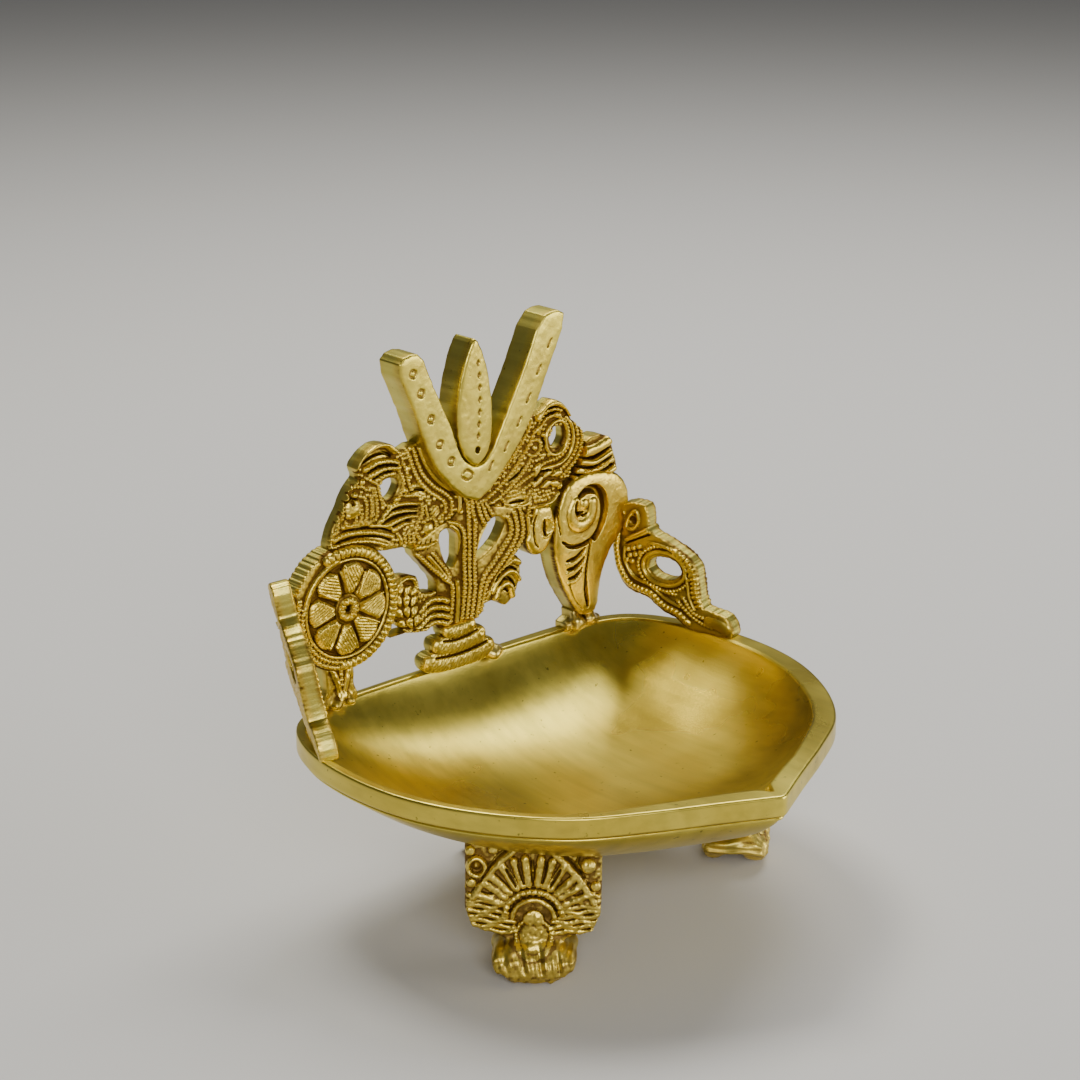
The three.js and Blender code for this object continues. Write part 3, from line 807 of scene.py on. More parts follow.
# Beaded rows and smooth strips that run on from one casting of the filigree to the next,
# as distance from the middle and height above the rim.
BEADED_ROWS = [
    [(-4.2, 9.4), (-3.7, 12.8), (-3.5, 16.8), (-5.3, 18.6), (-7.8, 21), (-9.8, 23), (-11.6, 24.9)],
    [(-3.9, 18.5), (-5.2, 20.7), (-6.7, 22.6), (-8.0, 24.4)],
    [
        (-1.2, 9.3), (-0.7, 13), (-0.3, 16), (-0.4, 19.8), (-0.3, 25.1), (-0.6, 27.3), (-1.8, 28.8),
        (-3.6, 29.6),
    ],
    [(0.0, 9), (0.5, 12.6), (0.9, 15.7), (0.8, 19.5), (0.9, 24.8), (0.9, 28.5), (0.8, 31), (0.6, 33.5)],
    [(1.2, 8.7), (1.8, 12.3), (2.2, 15.4), (2.1, 18.6), (2.2, 22.3), (2.3, 25.7), (2.6, 28.6)],
    [
        (2.5, 8.7), (3.2, 11.9), (3.8, 14.7), (4.8, 17), (7.2, 19.2), (9.6, 21.5), (11.4, 23.6),
        (11.6, 25.7), (10.9, 27.5),
    ],
    [
        (3.7, 9.6), (4.4, 12.4), (5.2, 15), (7.2, 17), (9.4, 18.8), (11.5, 20.8), (13, 23),
        (13.1, 25.4), (12.5, 28),
    ],
    [(5.8, 13), (8, 15.6), (10.4, 18), (12.8, 20.4), (14.4, 22.3), (14.7, 24.7), (14.3, 27), (13.9, 29.4)],
    [(1.7, 33.6), (1.8, 30.9), (2.1, 29.4)],
    [(3.1, 32.4), (3.7, 29.8), (4.9, 27.3)],
    [(4.3, 31.8), (5.0, 29.5), (6.0, 27.9)],
    [(5.5, 31.2), (6.4, 29.5), (7.0, 28.7)],
    [(3.5, 33.2), (6.6, 35), (10.2, 37.3), (13.4, 40), (15.8, 42.6), (17.4, 45.4)],
    [(5.0, 31.9), (8.2, 33.4), (11.8, 35.7), (14.5, 38.2), (17, 41.1), (18.2, 43.4)],
    [
        (-12.0, 45.6), (-11.2, 43), (-9.8, 40.2), (-7.4, 37.6), (-5.0, 35.8), (-3.3, 34.1),
        (-3.1, 31.6), (-4.2, 30.3),
    ],
    [
        (-13.2, 45), (-12.4, 42.4), (-11.0, 39.6), (-8.7, 37), (-6.4, 35.2), (-4.8, 33.8),
        (-4.7, 32.1), (-5.8, 31.2),
    ],
]
SMOOTH_STRIPS = [
    [(-2.5, 9.3), (-2.2, 12.4), (-2.1, 15.4), (-2.3, 17.4)],
    [(-4.7, 18.4), (-6.7, 21), (-9.3, 24.1)],
    [(-10.6, 45.6), (-9.6, 43), (-8.3, 40.8), (-6.1, 38.2), (-3.5, 36.2), (-1.2, 35.2), (-1.1, 31.1)],
    [(10.6, 17.2), (14, 18.7), (16, 20.6), (16.2, 23.1), (16.0, 26.2)],
]


def shared_rows(casting):
    """Rows that cross from one casting of the filigree to the next."""
    casting.rows(BEAD, *BEADED_ROWS)
    casting.rows(STRIP, *SMOOTH_STRIPS)


def build_crest():
    """The U-shaped mark and the flame inside it."""
    crest = Casting("crest_u", 6.0, 0.16, 3)
    crest.pillow(0.22, 2.0)
    # struck squares down the left arm, slanting cuts down the right one
    for u, v in [(-13.9, 61), (-12.1, 57), (-9.8, 51.6), (-7.8, 46.4), (-5.1, 42.5)]:
        crest.groove(oval(u, v, 0.75, 0.75, 25, 4), 0.5, 0.32, closed=True)
        crest.dots([(u, v)], 0.5, 0.18)
    crest.groove([(-2.6, 39.2), (-1.3, 40), (0.2, 38.8), (-1.3, 38.1)], 0.45, 0.32, closed=True)
    for u, v in [(4.7, 39.6), (8.6, 42.6), (11.9, 46.9), (14.3, 51.1), (17, 56.2), (19.8, 60.9)]:
        crest.cuts(0.75, 0.5, [(u - 0.5, v - 0.75), (u, v), (u + 0.5, v + 0.75)])
    # the seam where the flame is brazed in
    crest.groove([(-4.6, 49), (-3.4, 45.2), (-1.4, 41.9), (1.6, 40.9), (4.2, 43), (6.2, 47)], 0.5, 0.5)
    crest.roughen(0.035, 0.7)
    crest.build()

    flame = Casting("crest_flame", 5.6, 0.16, 4)
    flame.pillow(0.4, 2.4)
    spots = [(2.0, 60.2), (2.2, 57.8), (2.3, 55.4), (2.3, 53), (2.2, 50.6), (2.0, 48.3), (1.8, 46)]
    flame.diamonds(spots, 0.55, 0.85, 0.55)
    flame.dots([(1.6, 43.3)], 0.62, -2.4)
    flame.roughen(0.035, 0.7)
    flame.build()


WHEEL = (-29.2, 18.8)  # the wheel's middle on the plate
PETAL_ANGLES = (-7, 36, 81, 128, 174, 220, 267, 312)  # degrees, unevenly cast


def build_wheel():
    """The wheel, its boss, and the foot that joins it to the rim."""
    cx, cy = WHEEL
    wheel = Casting("wheel", 4.1, 0.14, 5)
    radius = np.hypot(wheel.u - cx, wheel.v - cy)
    angle = np.degrees(np.arctan2(wheel.v - cy, wheel.u - cx)) % 360
    # the side wall is filed in deep notches at the upper left
    filed = np.clip(1 - np.abs(angle - 138) / 42, 0, 1) ** 0.4
    wheel.edge += 0.2 * filed * np.clip(np.sin(np.radians(angle) * 64) + 0.2, 0, 1)
    wheel.ridge(arc(cx, cy, 9.45, 20, 380, 80), 0.75, 0.55)
    wheel.ridge(arc(cx, cy, 9.95, 100, 172, 40), 0.95, 0.8)
    wheel.height -= 0.25 * np.clip(1 - np.abs(radius - 8.85) / 0.35, 0, 1)
    wheel.rope(arc(cx, cy, 10.95, -100, 112, 80), 2.2, 1.15, 1.22)
    for ring, low, high in ((11.35, 160, 268), (10.35, 165, 262)):
        wheel.ridge(arc(cx, cy, ring, low, high, 50), 1.15, 0.8, beads=0.95)
    # each petal is narrow at the hub, round outside, hatched across and folded along one side
    for petal in PETAL_ANGLES:
        c, s = math.cos(math.radians(petal)), math.sin(math.radians(petal))
        along = (wheel.u - cx) * c + (wheel.v - cy) * s
        across = -(wheel.u - cx) * s + (wheel.v - cy) * c
        half = np.clip(0.6 * along - 0.95, 0.05, 3.15)
        half = np.minimum(half, 0.41 * along - 0.02)
        end = 9.1 - 2.5 * np.clip(np.abs(across) / 3.1, 0, 1.3) ** 2.8
        inset = np.minimum.reduce([half - np.abs(across), (end - along) * 0.8, along - 2.9])
        rise = 1.0 * np.clip(inset / 0.7, 0, 1) ** 0.5 - 0.2 * np.clip(across / 3, -1, 1)
        rise -= 0.11 * (np.sin((along * 0.55 - across * 0.85) * 11) > 0) * np.clip(inset / 0.4, 0, 1)
        wheel.raise_to(rise, inset > 0)
        fold = [(cx + a * c - o * s, cy + a * s + o * c) for a, o in ((3.4, 0.5), (5.8, 1.55), (7.9, 2.3))]
        wheel.ridge(fold, 0.42, 0.3, level=0.72)
    wheel.roughen(0.08)
    wheel.rear = 0.35 * np.clip((radius - 9.2) / 1.2, 0, 1) - 0.2
    wheel.build()

    hub = Casting("wheel_hub", 4.7, 0.12, 6)
    hub.ridge(arc(cx, cy, 1.62, 0, 360, 40), 1.5, 0.85, beads=0.93, core=0.45)
    hub.dots([(cx, cy)], 0.65, -1.0)
    hub.roughen(0.05)
    hub.build()

    foot = Casting("wheel_foot", 3.6, 0.14, 7)
    foot.ridge([(-32.6, 7.4), (-31.4, 4.0), (-31.1, 1.8)], 1.3, 0.7)
    foot.ridge([(-28.6, 7.4), (-29.6, 4.0), (-30.2, 1.8)], 1.2, 0.7)
    foot.ridge([(-30.6, 7.2), (-30.6, 3.4)], 0.9, 0.6, beads=0.9)
    foot.roughen(0.2, 0.7)
    foot.puddles = [
        (-33.4, 0.5, 2.6, 1.3), (-31.6, 0.7, 3.4, 1.5), (-29.4, 0.6, 3.0, 1.4),
        (-27.8, 0.4, 1.8, 1.1), (-30.4, 1.5, 3.4, 1.1), (-33.8, 0.2, 1.0, 1.0),
        (-32.4, 0.2, 4.6, 0.8), (-28.8, 0.2, 4.4, 0.7),
    ]
    foot.build()


# Centre line, half height and strand pitch of the pedestal's three drooping cushions.
CUSHIONS = [
    ([(-9.0, 2.4), (-6, 1.7), (-2.2, 1.4), (2, 1.6), (4.9, 2.2)], 2.15, 1.0),
    ([(-6.9, 5.3), (-4.6, 4.8), (-2.2, 4.6), (0.6, 4.8), (2.8, 5.3)], 1.95, 0.95),
    ([(-4.7, 7.9), (-3.6, 7.5), (-2.2, 7.4), (-0.6, 7.5), (0.6, 7.9)], 1.6, 0.85),
]
STRAND_LEAN = 0.55


def build_pedestal():
    """Three roped cushions that carry the stem."""
    base = Casting("pedestal", 4.3, 0.14, 8)
    rolls = np.full(base.u.shape, 9.0)
    body = np.zeros(base.u.shape)
    base.height -= 0.9
    for path, half, _ in CUSHIONS:
        distance, _, _, _ = base.near(curve(path))
        rolls = -soft_max(-rolls, half - distance, 0.5)
        swell = np.sqrt(np.clip(1 - (distance / half) ** 2, 0, 1))
        base.raise_to(1.5 * swell**0.7 - 0.9, distance < half)
        body = np.maximum(body, swell)
    base.edge = np.maximum(base.edge, rolls)
    base.rear = 2.2 * body - 2.2
    # leaning strands, closer together on the upper cushions
    for path, half, pitch in CUSHIONS:
        distance, at, _, side = base.near(curve(path))
        strand = np.abs(np.sin(np.pi * (at + STRAND_LEAN * side * distance) / pitch)) ** 0.6
        base.height -= 0.2 * (1 - strand) * (distance < half * 0.8)
    base.groove([(-8.4, 3.3), (-5, 2.9), (-2.2, 2.8), (1.4, 3.0), (4.6, 3.5)], 0.6, 0.7)
    base.groove([(-6.4, 6.3), (-4, 5.9), (-2.2, 5.85), (0, 6.0), (2.4, 6.5)], 0.5, 0.6)
    base.roughen(0.1)
    base.build()

    # a tongue of braze where the pedestal meets the rim
    tongue = Casting("pedestal_rivet", 3.0, 0.13, 9, outline=oval(7.0, 0.75, 1.9, 0.85))
    tongue.puddles = [
        (5.6, 0.7, 3.6, 1.25), (7.2, 0.5, 3.9, 1.4), (8.4, 0.25, 3.4, 1.05),
        (6.4, 0.9, 2.6, 1.5), (6.4, 0.2, 4.7, 0.9), (8.9, 0.1, 2.8, 0.7),
    ]
    tongue.roughen(0.06)
    tongue.build()


def build_stem():
    """A fan of beaded ribbons."""
    stem = Casting("stem", 3.7, 0.135, 10)
    shared_rows(stem)
    spray_ribs(stem)
    # rim of the left opening and the small arrow on the left branch
    stem.ridge([(-2.2, 22), (-1.6, 25), (-1.9, 27.4), (-3.4, 28.8)], 0.8, 0.4)
    stem.ridge([(2.9, 21), (3.7, 24.6), (5.6, 27)], 0.7, 0.4)
    stem.ridge([(-11.8, 26.4), (-9.4, 26.2), (-7.2, 26.6)], 1.2, 0.6, taper=True)
    for u in (-11.6, -10.4, -9.2):
        stem.groove([(u, 25.4), (u + 0.9, 27.2)], 0.35, 0.4)
    stem.roughen(0.08)
    stem.rear -= 0.4
    stem.draft = 0.05
    stem.build()


def spray_ribs(casting):
    """Arched roped ribs that spring from the stem's left edge."""
    for low, high, h in ((-11.4, -4.9, 14.9), (-11.8, -4.8, 13.3), (-11.9, -4.8, 11.7), (-11.4, -5.0, 10.2)):
        middle = (low + high) / 2
        casting.ridge([(low, h - 1.5), (middle - 1, h + 0.1), (middle + 1.6, h), (high, h - 0.8)], **BAR)


def build_leaves():
    """The leaf cluster left of the stem and the curled leaf right of it."""
    spray = Casting("leaf_spray_left", 3.4, 0.135, 11)
    spray.pillow(0.3, 1.2)
    spray_ribs(spray)
    for cx, cy, turn in (
        (-16.4, 18.8, 75), (-14.8, 18.2, 50), (-13.2, 17.9, 25), (-16.6, 16.6, 105), (-14.9, 16.2, 80),
        (-13.3, 15.9, 45), (-16.4, 14.2, 130), (-14.7, 14.0, 95), (-13.2, 13.7, 60), (-15.8, 12.0, 140),
        (-14.0, 11.6, 100), (-12.6, 11.8, 70),
    ):
        spray.petal(cx, cy, turn, -0.9, 1.5, 1.75, 0.95)
        spray.dots([(cx, cy)], 0.42, 0.28, level=0.8)
    spray.ridge([(-17, 19.8), (-15.4, 20.9), (-13.2, 20.6), (-12.2, 19)], 0.9, 0.9)
    spray.ridge([(-16.6, 10.9), (-14.2, 10.1), (-11.4, 9.6), (-8, 9.6)], 0.9, 0.7, beads=0.85)
    spray.granulate(0.8, 0.4, 0.4)
    spray.roughen(0.12, 0.4)
    spray.draft = 0.1
    spray.build()

    curl = Casting("leaf_curl_right", 3.4, 0.135, 12)
    curl.pillow(0.3, 1.4)
    outer = [(5.4, 12.4), (7, 15.2), (9.4, 17.4), (12, 18.2), (14, 17.4)]
    curl.ridge(outer, 1.5, 0.95, beads=0.9, core=0.85)
    curl.ridge([(6.8, 13), (8.4, 15.2), (10.4, 16.2), (12.3, 15.8), (13.7, 14)], 1.3, 1.0)
    curl.ridge([(7.6, 11.4), (8.6, 13.2), (10, 13.9), (11.4, 13), (12, 11)], 1.5, 1.0)
    curl.cuts(0.7, 1.2, [(7.2, 14.9), (9, 16.4), (11.2, 17), (13.2, 15.9)])
    curl.cuts(0.75, 1.3, [(8.2, 13.9), (9.8, 14.9), (11.4, 14.5), (12.8, 12.6)])
    curl.cuts(0.6, 0.8, [(8.6, 12.2), (9.8, 12.9), (10.8, 12)])
    curl.groove([(5.4, 16.4), (8, 18.2), (11, 19.2)], 0.45, 0.6)
    curl.roughen(0.08)
    curl.build()


def build_left_shoulder():
    """The filigree over the wheel."""
    left = Casting("shoulder_scroll_left", 3.3, 0.135, 13)
    left.pillow(0.15, 1.2)
    shared_rows(left)
    # the folded cap at the top: smooth outside, two roped ribs and dark hollows inside
    left.ridge([(-26.4, 44.6), (-24.6, 46.9), (-21.9, 48.3), (-18.9, 48.3), (-16.7, 46.6)], 1.7, 1.2)
    left.ridge([(-23.6, 44.2), (-21.2, 45.0), (-18.4, 44.8), (-16, 44)], **BAR)
    left.ridge([(-22.4, 42.8), (-20.2, 43.4), (-17.8, 43.4), (-15.7, 43)], **BAR)
    left.ridge([(-20.8, 41.6), (-18.6, 42.1), (-16.6, 42)], 0.9, 0.7, beads=0.8)
    left.cuts(
        0.75, 1.1,
        [(-24, 45.5), (-21.6, 46.4), (-19.2, 46.5), (-17.4, 45.6)],
        [(-22.9, 43.5), (-20.7, 44.2), (-18.1, 44.1), (-16, 43.5)],
        [(-21.4, 42.1), (-19.4, 42.8), (-17.2, 42.7)],
    )
    # beaded head with its eye, and the columns beside it
    left.dots([(-26.7, 37.4)], 2.0, 1.1)
    left.dots([(-26.9, 38.6)], 0.55, -0.8)
    studs = [(-25.6, 36.4), (-27.9, 36.3), (-26.2, 39.9), (-28.1, 39.8), (-24.4, 42), (-25.8, 42.4)]
    left.dots(studs, 0.7, 0.9)
    left.cuts(0.6, 0.8, [(-28.2, 38.9), (-27, 39.4), (-25.7, 39)])
    left.rows(
        FINE,
        [(-28.5, 40.6), (-26.6, 41.4), (-24.6, 41.2), (-23.2, 40.2)],
        [(-28.9, 39.2), (-28.9, 37.2), (-29.3, 35.6)],
        [(-23.5, 42.6), (-22.0, 41.7), (-20.6, 40.6), (-20.2, 38.5), (-19.4, 36.5)],
        [(-22.6, 40.6), (-21.5, 40.1), (-21.1, 37.8), (-21, 35), (-21.7, 33.9)],
        [(-22.4, 39), (-22.2, 37), (-22.3, 34.8)],
        [(-23.5, 38.6), (-23.4, 36.6), (-23.7, 33.9)],
        [(-24.8, 38), (-24.6, 35.8), (-24.9, 34.1)],
        [(-30.2, 36.6), (-30.1, 34.8), (-30.5, 33.4)],
        [(-28.4, 35.4), (-28.0, 34.4), (-26.6, 34.2), (-25.8, 35.2), (-26.6, 35.9), (-27.8, 35.8)],
        [(-24.9, 43.6), (-26.6, 43.5), (-28.3, 42.4), (-29.6, 41)],
    )
    left.ridge([(-21.9, 40.2), (-21.7, 37.6), (-21.7, 35)], 0.4, 0.35)
    # two roped arcs over the wheel with deep grooves between them
    left.rows(
        ARC,
        [(-31.0, 32.2), (-29.4, 32.7), (-27.1, 32.7), (-23.8, 32.2), (-20.4, 31.2), (-17.4, 29.9)],
        [(-31.4, 30.9), (-28.5, 31.0), (-25.5, 30.8), (-22.2, 30.0), (-18.8, 28.5)],
    )
    left.cuts(
        0.65, 1.0,
        [(-30.8, 31.5), (-27.1, 31.85), (-23.8, 31.5), (-20.5, 30.6), (-17.9, 29.2)],
        [(-29.4, 33.5), (-26.4, 33.4), (-23.4, 33.0), (-20.2, 32.2), (-17.6, 31)],
    )
    left.ridge([(-22.6, 33.2), (-19.9, 32.6), (-17.9, 31.7)], 0.8, 0.7)
    # feather ribs
    left.rows(
        RIB,
        [(-19.4, 34.5), (-17.6, 35.7), (-14.8, 35.8), (-10.7, 34.9)],
        [(-20.5, 33.5), (-18, 34.4), (-14.9, 34.4), (-11.5, 33.7)],
        [(-18.6, 32.3), (-16, 32.9), (-13.5, 33), (-11.5, 32.6)],
        [(-17.2, 31.1), (-14.9, 31.8), (-12.9, 31.6)],
    )
    left.cuts(
        0.5, 0.9,
        [(-19.6, 34.0), (-17.8, 35.05), (-14.8, 35.1), (-11.2, 34.3)],
        [(-20, 32.9), (-17, 33.6), (-13.8, 33.7), (-11.4, 33.2)],
        [(-17.6, 31.8), (-15.2, 32.4), (-12.8, 32.1)],
    )
    # frame of the opening and the granulated knot right of it
    left.rows(
        FINE,
        [(-16.4, 43.2), (-15.0, 41.4), (-14.6, 39.4), (-15.6, 37.2), (-17.4, 36.1), (-19.6, 36.5)],
        [(-14.7, 43.8), (-13.8, 41.8), (-13.4, 39.6), (-12.6, 37.9), (-11.2, 37)],
        [(-14.4, 37.2), (-12.6, 36.9), (-10.6, 36.4)],
    )
    left.dots([(-14.2, 38.2), (-13.2, 40.6), (-13.5, 42.4), (-16.4, 36.9), (-12.2, 38.7)], 0.62, 0.8)
    left.cuts(0.7, 1.0, [(-12.9, 37.6), (-11.4, 37.8), (-9.6, 37.2)])
    # the eye with its beaded loop, the bud above it and the short columns to its left
    left.rows(
        FINE,
        [
            (-10.1, 34.6), (-10.3, 32.6), (-11.3, 31.2), (-11.8, 29.6), (-10.9, 27.9), (-8.9, 27),
            (-6.9, 27.4),
        ],
        [(-10.2, 30.9), (-8.8, 31.4), (-7.3, 30.9), (-6.9, 29.4), (-7.7, 28.2), (-9.4, 28.1)],
        [(-14.6, 29.9), (-14.5, 27.7)],
        [(-13.5, 29.9), (-13.4, 27.4)],
        [(-12.5, 29.3), (-12.4, 27.3)],
        [(-12.7, 24.9), (-9.6, 25.6), (-7, 26.1), (-6.4, 27.4)],
    )
    left.dots([(-8.9, 29.6)], 1.25, 1.0)
    left.dots([(-7.3, 32.6)], 1.3, 0.9)
    for shift in (-0.7, 0.0, 0.7):
        left.groove([(-8.1 + shift, 31.9 - shift * 0.4), (-6.9 + shift, 33.3 - shift * 0.4)], 0.3, 0.45)
    left.ridge([(-9.4, 34.2), (-9.3, 33), (-8.9, 31.9)], 0.6, 0.6)
    left.ridge([(-16.4, 30.2), (-15.6, 28.9), (-15.4, 27.9)], 0.9, 0.6)
    left.granulate(0.85, 0.44, 0.5)
    left.roughen(0.1, 0.4)
    left.rear -= 0.6
    left.draft = 0.05
    left.build()


def build_right_shoulder():
    """The filigree between the stem, the crest and the shell, with its large curl."""
    right = Casting("shoulder_scroll_right", 3.3, 0.135, 14)
    right.pillow(0.15, 1.2)
    shared_rows(right)
    right.rows(
        FINE,
        [(6.6, 31), (9.7, 32.1), (12.9, 33.9), (15.6, 35.9), (17.2, 38)],
        [(12.9, 32.9), (15.7, 33.9), (17.7, 34.6)],
        [(14.1, 31.5), (16.5, 32.5), (18.5, 33.2)],
        [(6.6, 29.7), (7.3, 28.9), (9.3, 28.7), (10.5, 29.5), (10.1, 30.8), (8.6, 31.6), (7, 31)],
        [(15.7, 30.2), (17.3, 31.5)],
        [(16.3, 26.2), (16.8, 28.2), (17, 29.6)],
    )
    right.dots([(8.7, 30.1)], 0.7, 0.85)
    right.cuts(0.6, 0.8, [(11.6, 34.4), (13.6, 35.2), (15.4, 36.6)])
    right.cuts(0.7, 1.0, [(11.6, 29.9), (13.6, 29.9), (15.4, 29.6)])
    right.ridge([(11.6, 28.8), (14.2, 28.7), (16.8, 28.9)], 0.8, 0.6)
    # the curl around the opening: two beaded lines with a smooth band between them
    right.rows(
        BEAD,
        [(17.7, 35.4), (20.9, 36.3), (24.2, 36.6), (26.6, 38.2), (27.0, 41), (26.2, 43.4), (24.4, 45)],
        [(24.6, 32.3), (26.6, 33.4), (28.6, 34.9), (30.2, 37), (30.6, 39.8), (29.9, 42.4), (28, 44.6)],
        [(22.8, 33.9), (25.2, 34.2), (27.4, 35.6), (29.1, 37.8), (29.4, 40.4), (28.6, 43)],
    )
    smooth = [(20.1, 35.1), (24.6, 35.4), (27.2, 37), (28.2, 39.9), (27.6, 42.7), (26.2, 44.4)]
    right.ridge(smooth, 0.85, 0.8)
    right.ridge(oval(23.9, 40.7, 2.9, 3.4, -10), 0.8, 0.7, closed=True)
    # the rolled top with short roped ribs
    right.ridge([(18.9, 45.6), (20.6, 47.6), (23.6, 47.9), (26, 46.6), (27.4, 45)], 1.5, 1.2)
    right.ridge([(18.9, 43.2), (20.2, 44.9), (22.4, 45.6), (24.4, 45.2)], **BAR)
    right.ridge([(19.4, 44.8), (21, 46.4), (23.4, 46.6), (25.2, 45.9)], 0.9, 0.9, beads=0.8)
    right.cuts(0.5, 1.0, [(19.2, 44.2), (20.8, 45.7), (23.6, 46.1)])
    right.cuts(0.5, 1.0, [(19.2, 45.4), (21, 47.0), (24.2, 47.1)])
    # a rosette and a knot of small leaves
    right.ridge([(16.5, 38.8), (18.2, 38.2), (19.7, 39.3), (19.4, 41), (17.8, 41.4), (17, 40.4)], **FINE)
    right.dots([(18.2, 39.8)], 0.62, 0.7)
    right.dots([(20.6, 37.9), (21.8, 37.7), (20.4, 42), (19.2, 42.6)], 0.55, 0.7)
    right.cuts(0.5, 0.8, [(19.9, 38.6), (20.6, 40), (20.2, 41.4)])
    for cx, cy, turn in (
        (17.6, 32.2, 35), (19.6, 31.6, 12), (21.8, 31.9, -15),
        (20.2, 33.6, 25), (22.4, 33.4, 5), (18, 34.3, 60),
    ):
        right.petal(cx, cy, turn, -0.4, 2.6, 1.6, 0.95)
        right.petal(cx, cy, turn, 0.0, 2.0, 0.5, 0.3)
    right.dots([(24.7, 30.7)], 0.85, 0.8)
    right.cuts(0.6, 1.0, [(18.0, 33.2), (20.0, 34.7), (22.4, 34.5)])
    right.ridge([(17.6, 27.7), (20, 27.4), (22.6, 27.8), (24.4, 29.2)], 0.9, 0.6)
    right.granulate(0.85, 0.44, 0.5)
    right.roughen(0.1, 0.4)
    right.rear -= 0.6
    right.draft = 0.05
    right.build()


def build_shell():
    """The conch, its ribbed top, its braze and the eyelet beside it."""
    shell = Casting("shell", 4.5, 0.15, 15)
    shell.pillow(0.9, 3.0)
    # a broad band coils in to a small curled tip
    coil = [(27.4, 26.9), (26.3, 24.6), (27.2, 22.4), (29.6, 21.9), (31.6, 23.6), (31.9, 26)]
    shell.ridge(coil, 2.6, 0.75, level=0.7)
    shell.cuts(1.1, 1.5, [(27.3, 27.2), (27.2, 25.5), (28, 24.4), (29.2, 24.6)])
    shell.dots([(29.6, 26.2)], 1.1, 0.6, level=0.9)
    shell.cuts(0.6, 0.8, [(28.3, 24.9), (29.2, 23.9), (30.3, 24.2)])
    shell.cuts(
        2.3, 2.0,
        [(28.4, 28.0), (30.6, 28.9), (33.2, 28.4), (34.8, 26.4), (35.1, 23.6), (34.2, 20.8), (32.6, 18.4)],
    )
    shell.cuts(1.1, 1.2, [(33.4, 20.4), (31.6, 18.5), (28.8, 17.8), (26, 18.1), (24, 19.4)])
    shell.cuts(0.5, 0.4, [(23.6, 27.4), (23.2, 24.4), (23.5, 21)])
    for low, high, h in ((25.0, 29.9, 15.6), (25.2, 29.8, 13.7), (25.6, 29.2, 11.7)):
        middle = (low + high) / 2
        shell.cuts(0.95, 1.0, [(low, h - 0.3), (middle, h - 0.1), (high, h + 1.3)])
        shell.ridge([(low, h - 1.2), (middle, h - 1.0), (high, h + 0.3)], 0.8, 0.35, level=0.8, beads=0.7)
    # the fold that runs down to the foot
    fold = [(31.6, 18.4), (30.9, 15.4), (30.3, 12.4), (30.0, 9.4), (30.2, 6.6), (30.7, 4.4)]
    shell.groove(fold, 0.75, 0.8)
    shell.cuts(1.2, 1.2, [(30.1, 10.4), (30.2, 7.4), (30.8, 4.8)])
    shell.groove([(25.8, 10.4), (27.4, 6.6), (29.4, 4)], 0.4, 0.25)
    shell.roughen(0.045, 0.6)
    shell.rear = 0.5 * np.clip(-shell.edge / 3, 0, 1) ** 0.5
    shell.build()

    turban = Casting("shell_turban", 4.2, 0.15, 16)
    # four bands, closer together at the left
    for path, width, height in (
        ([(30.8, 36.4), (33.8, 36.7), (37.0, 37.6)], 2.4, 1.0),
        ([(29.6, 34.7), (33.2, 34.0), (37.4, 35.2)], 1.4, 0.95),
        ([(28.8, 33.1), (33, 32.2), (38.0, 33.4)], 1.4, 0.6),
        ([(28.0, 31.5), (33, 30.3), (38.4, 31.6)], 1.6, 1.0),
    ):
        turban.ridge(path, width, height)
    turban.cuts(
        0.7, 0.9,
        [(29.8, 35.5), (33.4, 35.1), (37.6, 36.3)],
        [(29.0, 33.8), (33, 33.0), (38.2, 34.2)],
        [(28.2, 32.3), (33, 31.2), (38.6, 32.5)],
        [(28.4, 30.2), (33, 29.0), (38.0, 30.2)],
    )
    pitted = [(30.6 + 0.85 * i, 32.85 - 0.02 * (i - 4) ** 2 + 0.25 * (i % 2)) for i in range(9)]
    turban.dots(pitted, 0.4, -0.5)
    turban.roughen(0.06)
    turban.build()

    foot = Casting("shell_foot", 4.0, 0.14, 17)
    foot.puddles = [
        (27.2, 0.4, 3.2, 0.9), (28.6, 1.4, 4.4, 1.1), (29.4, 0.8, 4.4, 1.2), (32.2, 1.2, 4.4, 1.2),
        (33.4, 0.6, 3.8, 1.1), (34.8, 0.3, 3.0, 0.8), (30.8, 0.5, 3.6, 1.1), (28.2, 0.3, 4.9, 0.6),
        (32.4, 2.4, 3.8, 0.7), (28.6, 2.3, 3.6, 0.7),
    ]
    foot.groove([(30.6, 3.2), (30.8, 1.2)], 0.7, 1.1)
    foot.roughen(0.22, 0.6)
    foot.build()

    eyelet = Casting("eyelet", 3.7, 0.14, 18)
    eyelet.pillow(0.9, 1.5)
    eyelet.ridge(arc(20.2, 23.2, 1.9, -115, 115, 30), 0.6, 0.3, level=0.8, beads=0.75)
    eyelet.cuts(0.5, 0.5, [(18.0, 26.2), (17.1, 23.8), (17.3, 20.9), (18.2, 19.6)])
    eyelet.cuts(0.9, 0.6, [(19.7, 25.0), (20.2, 23.4), (20.3, 21.6)])
    eyelet.roughen(0.04)
    eyelet.build()


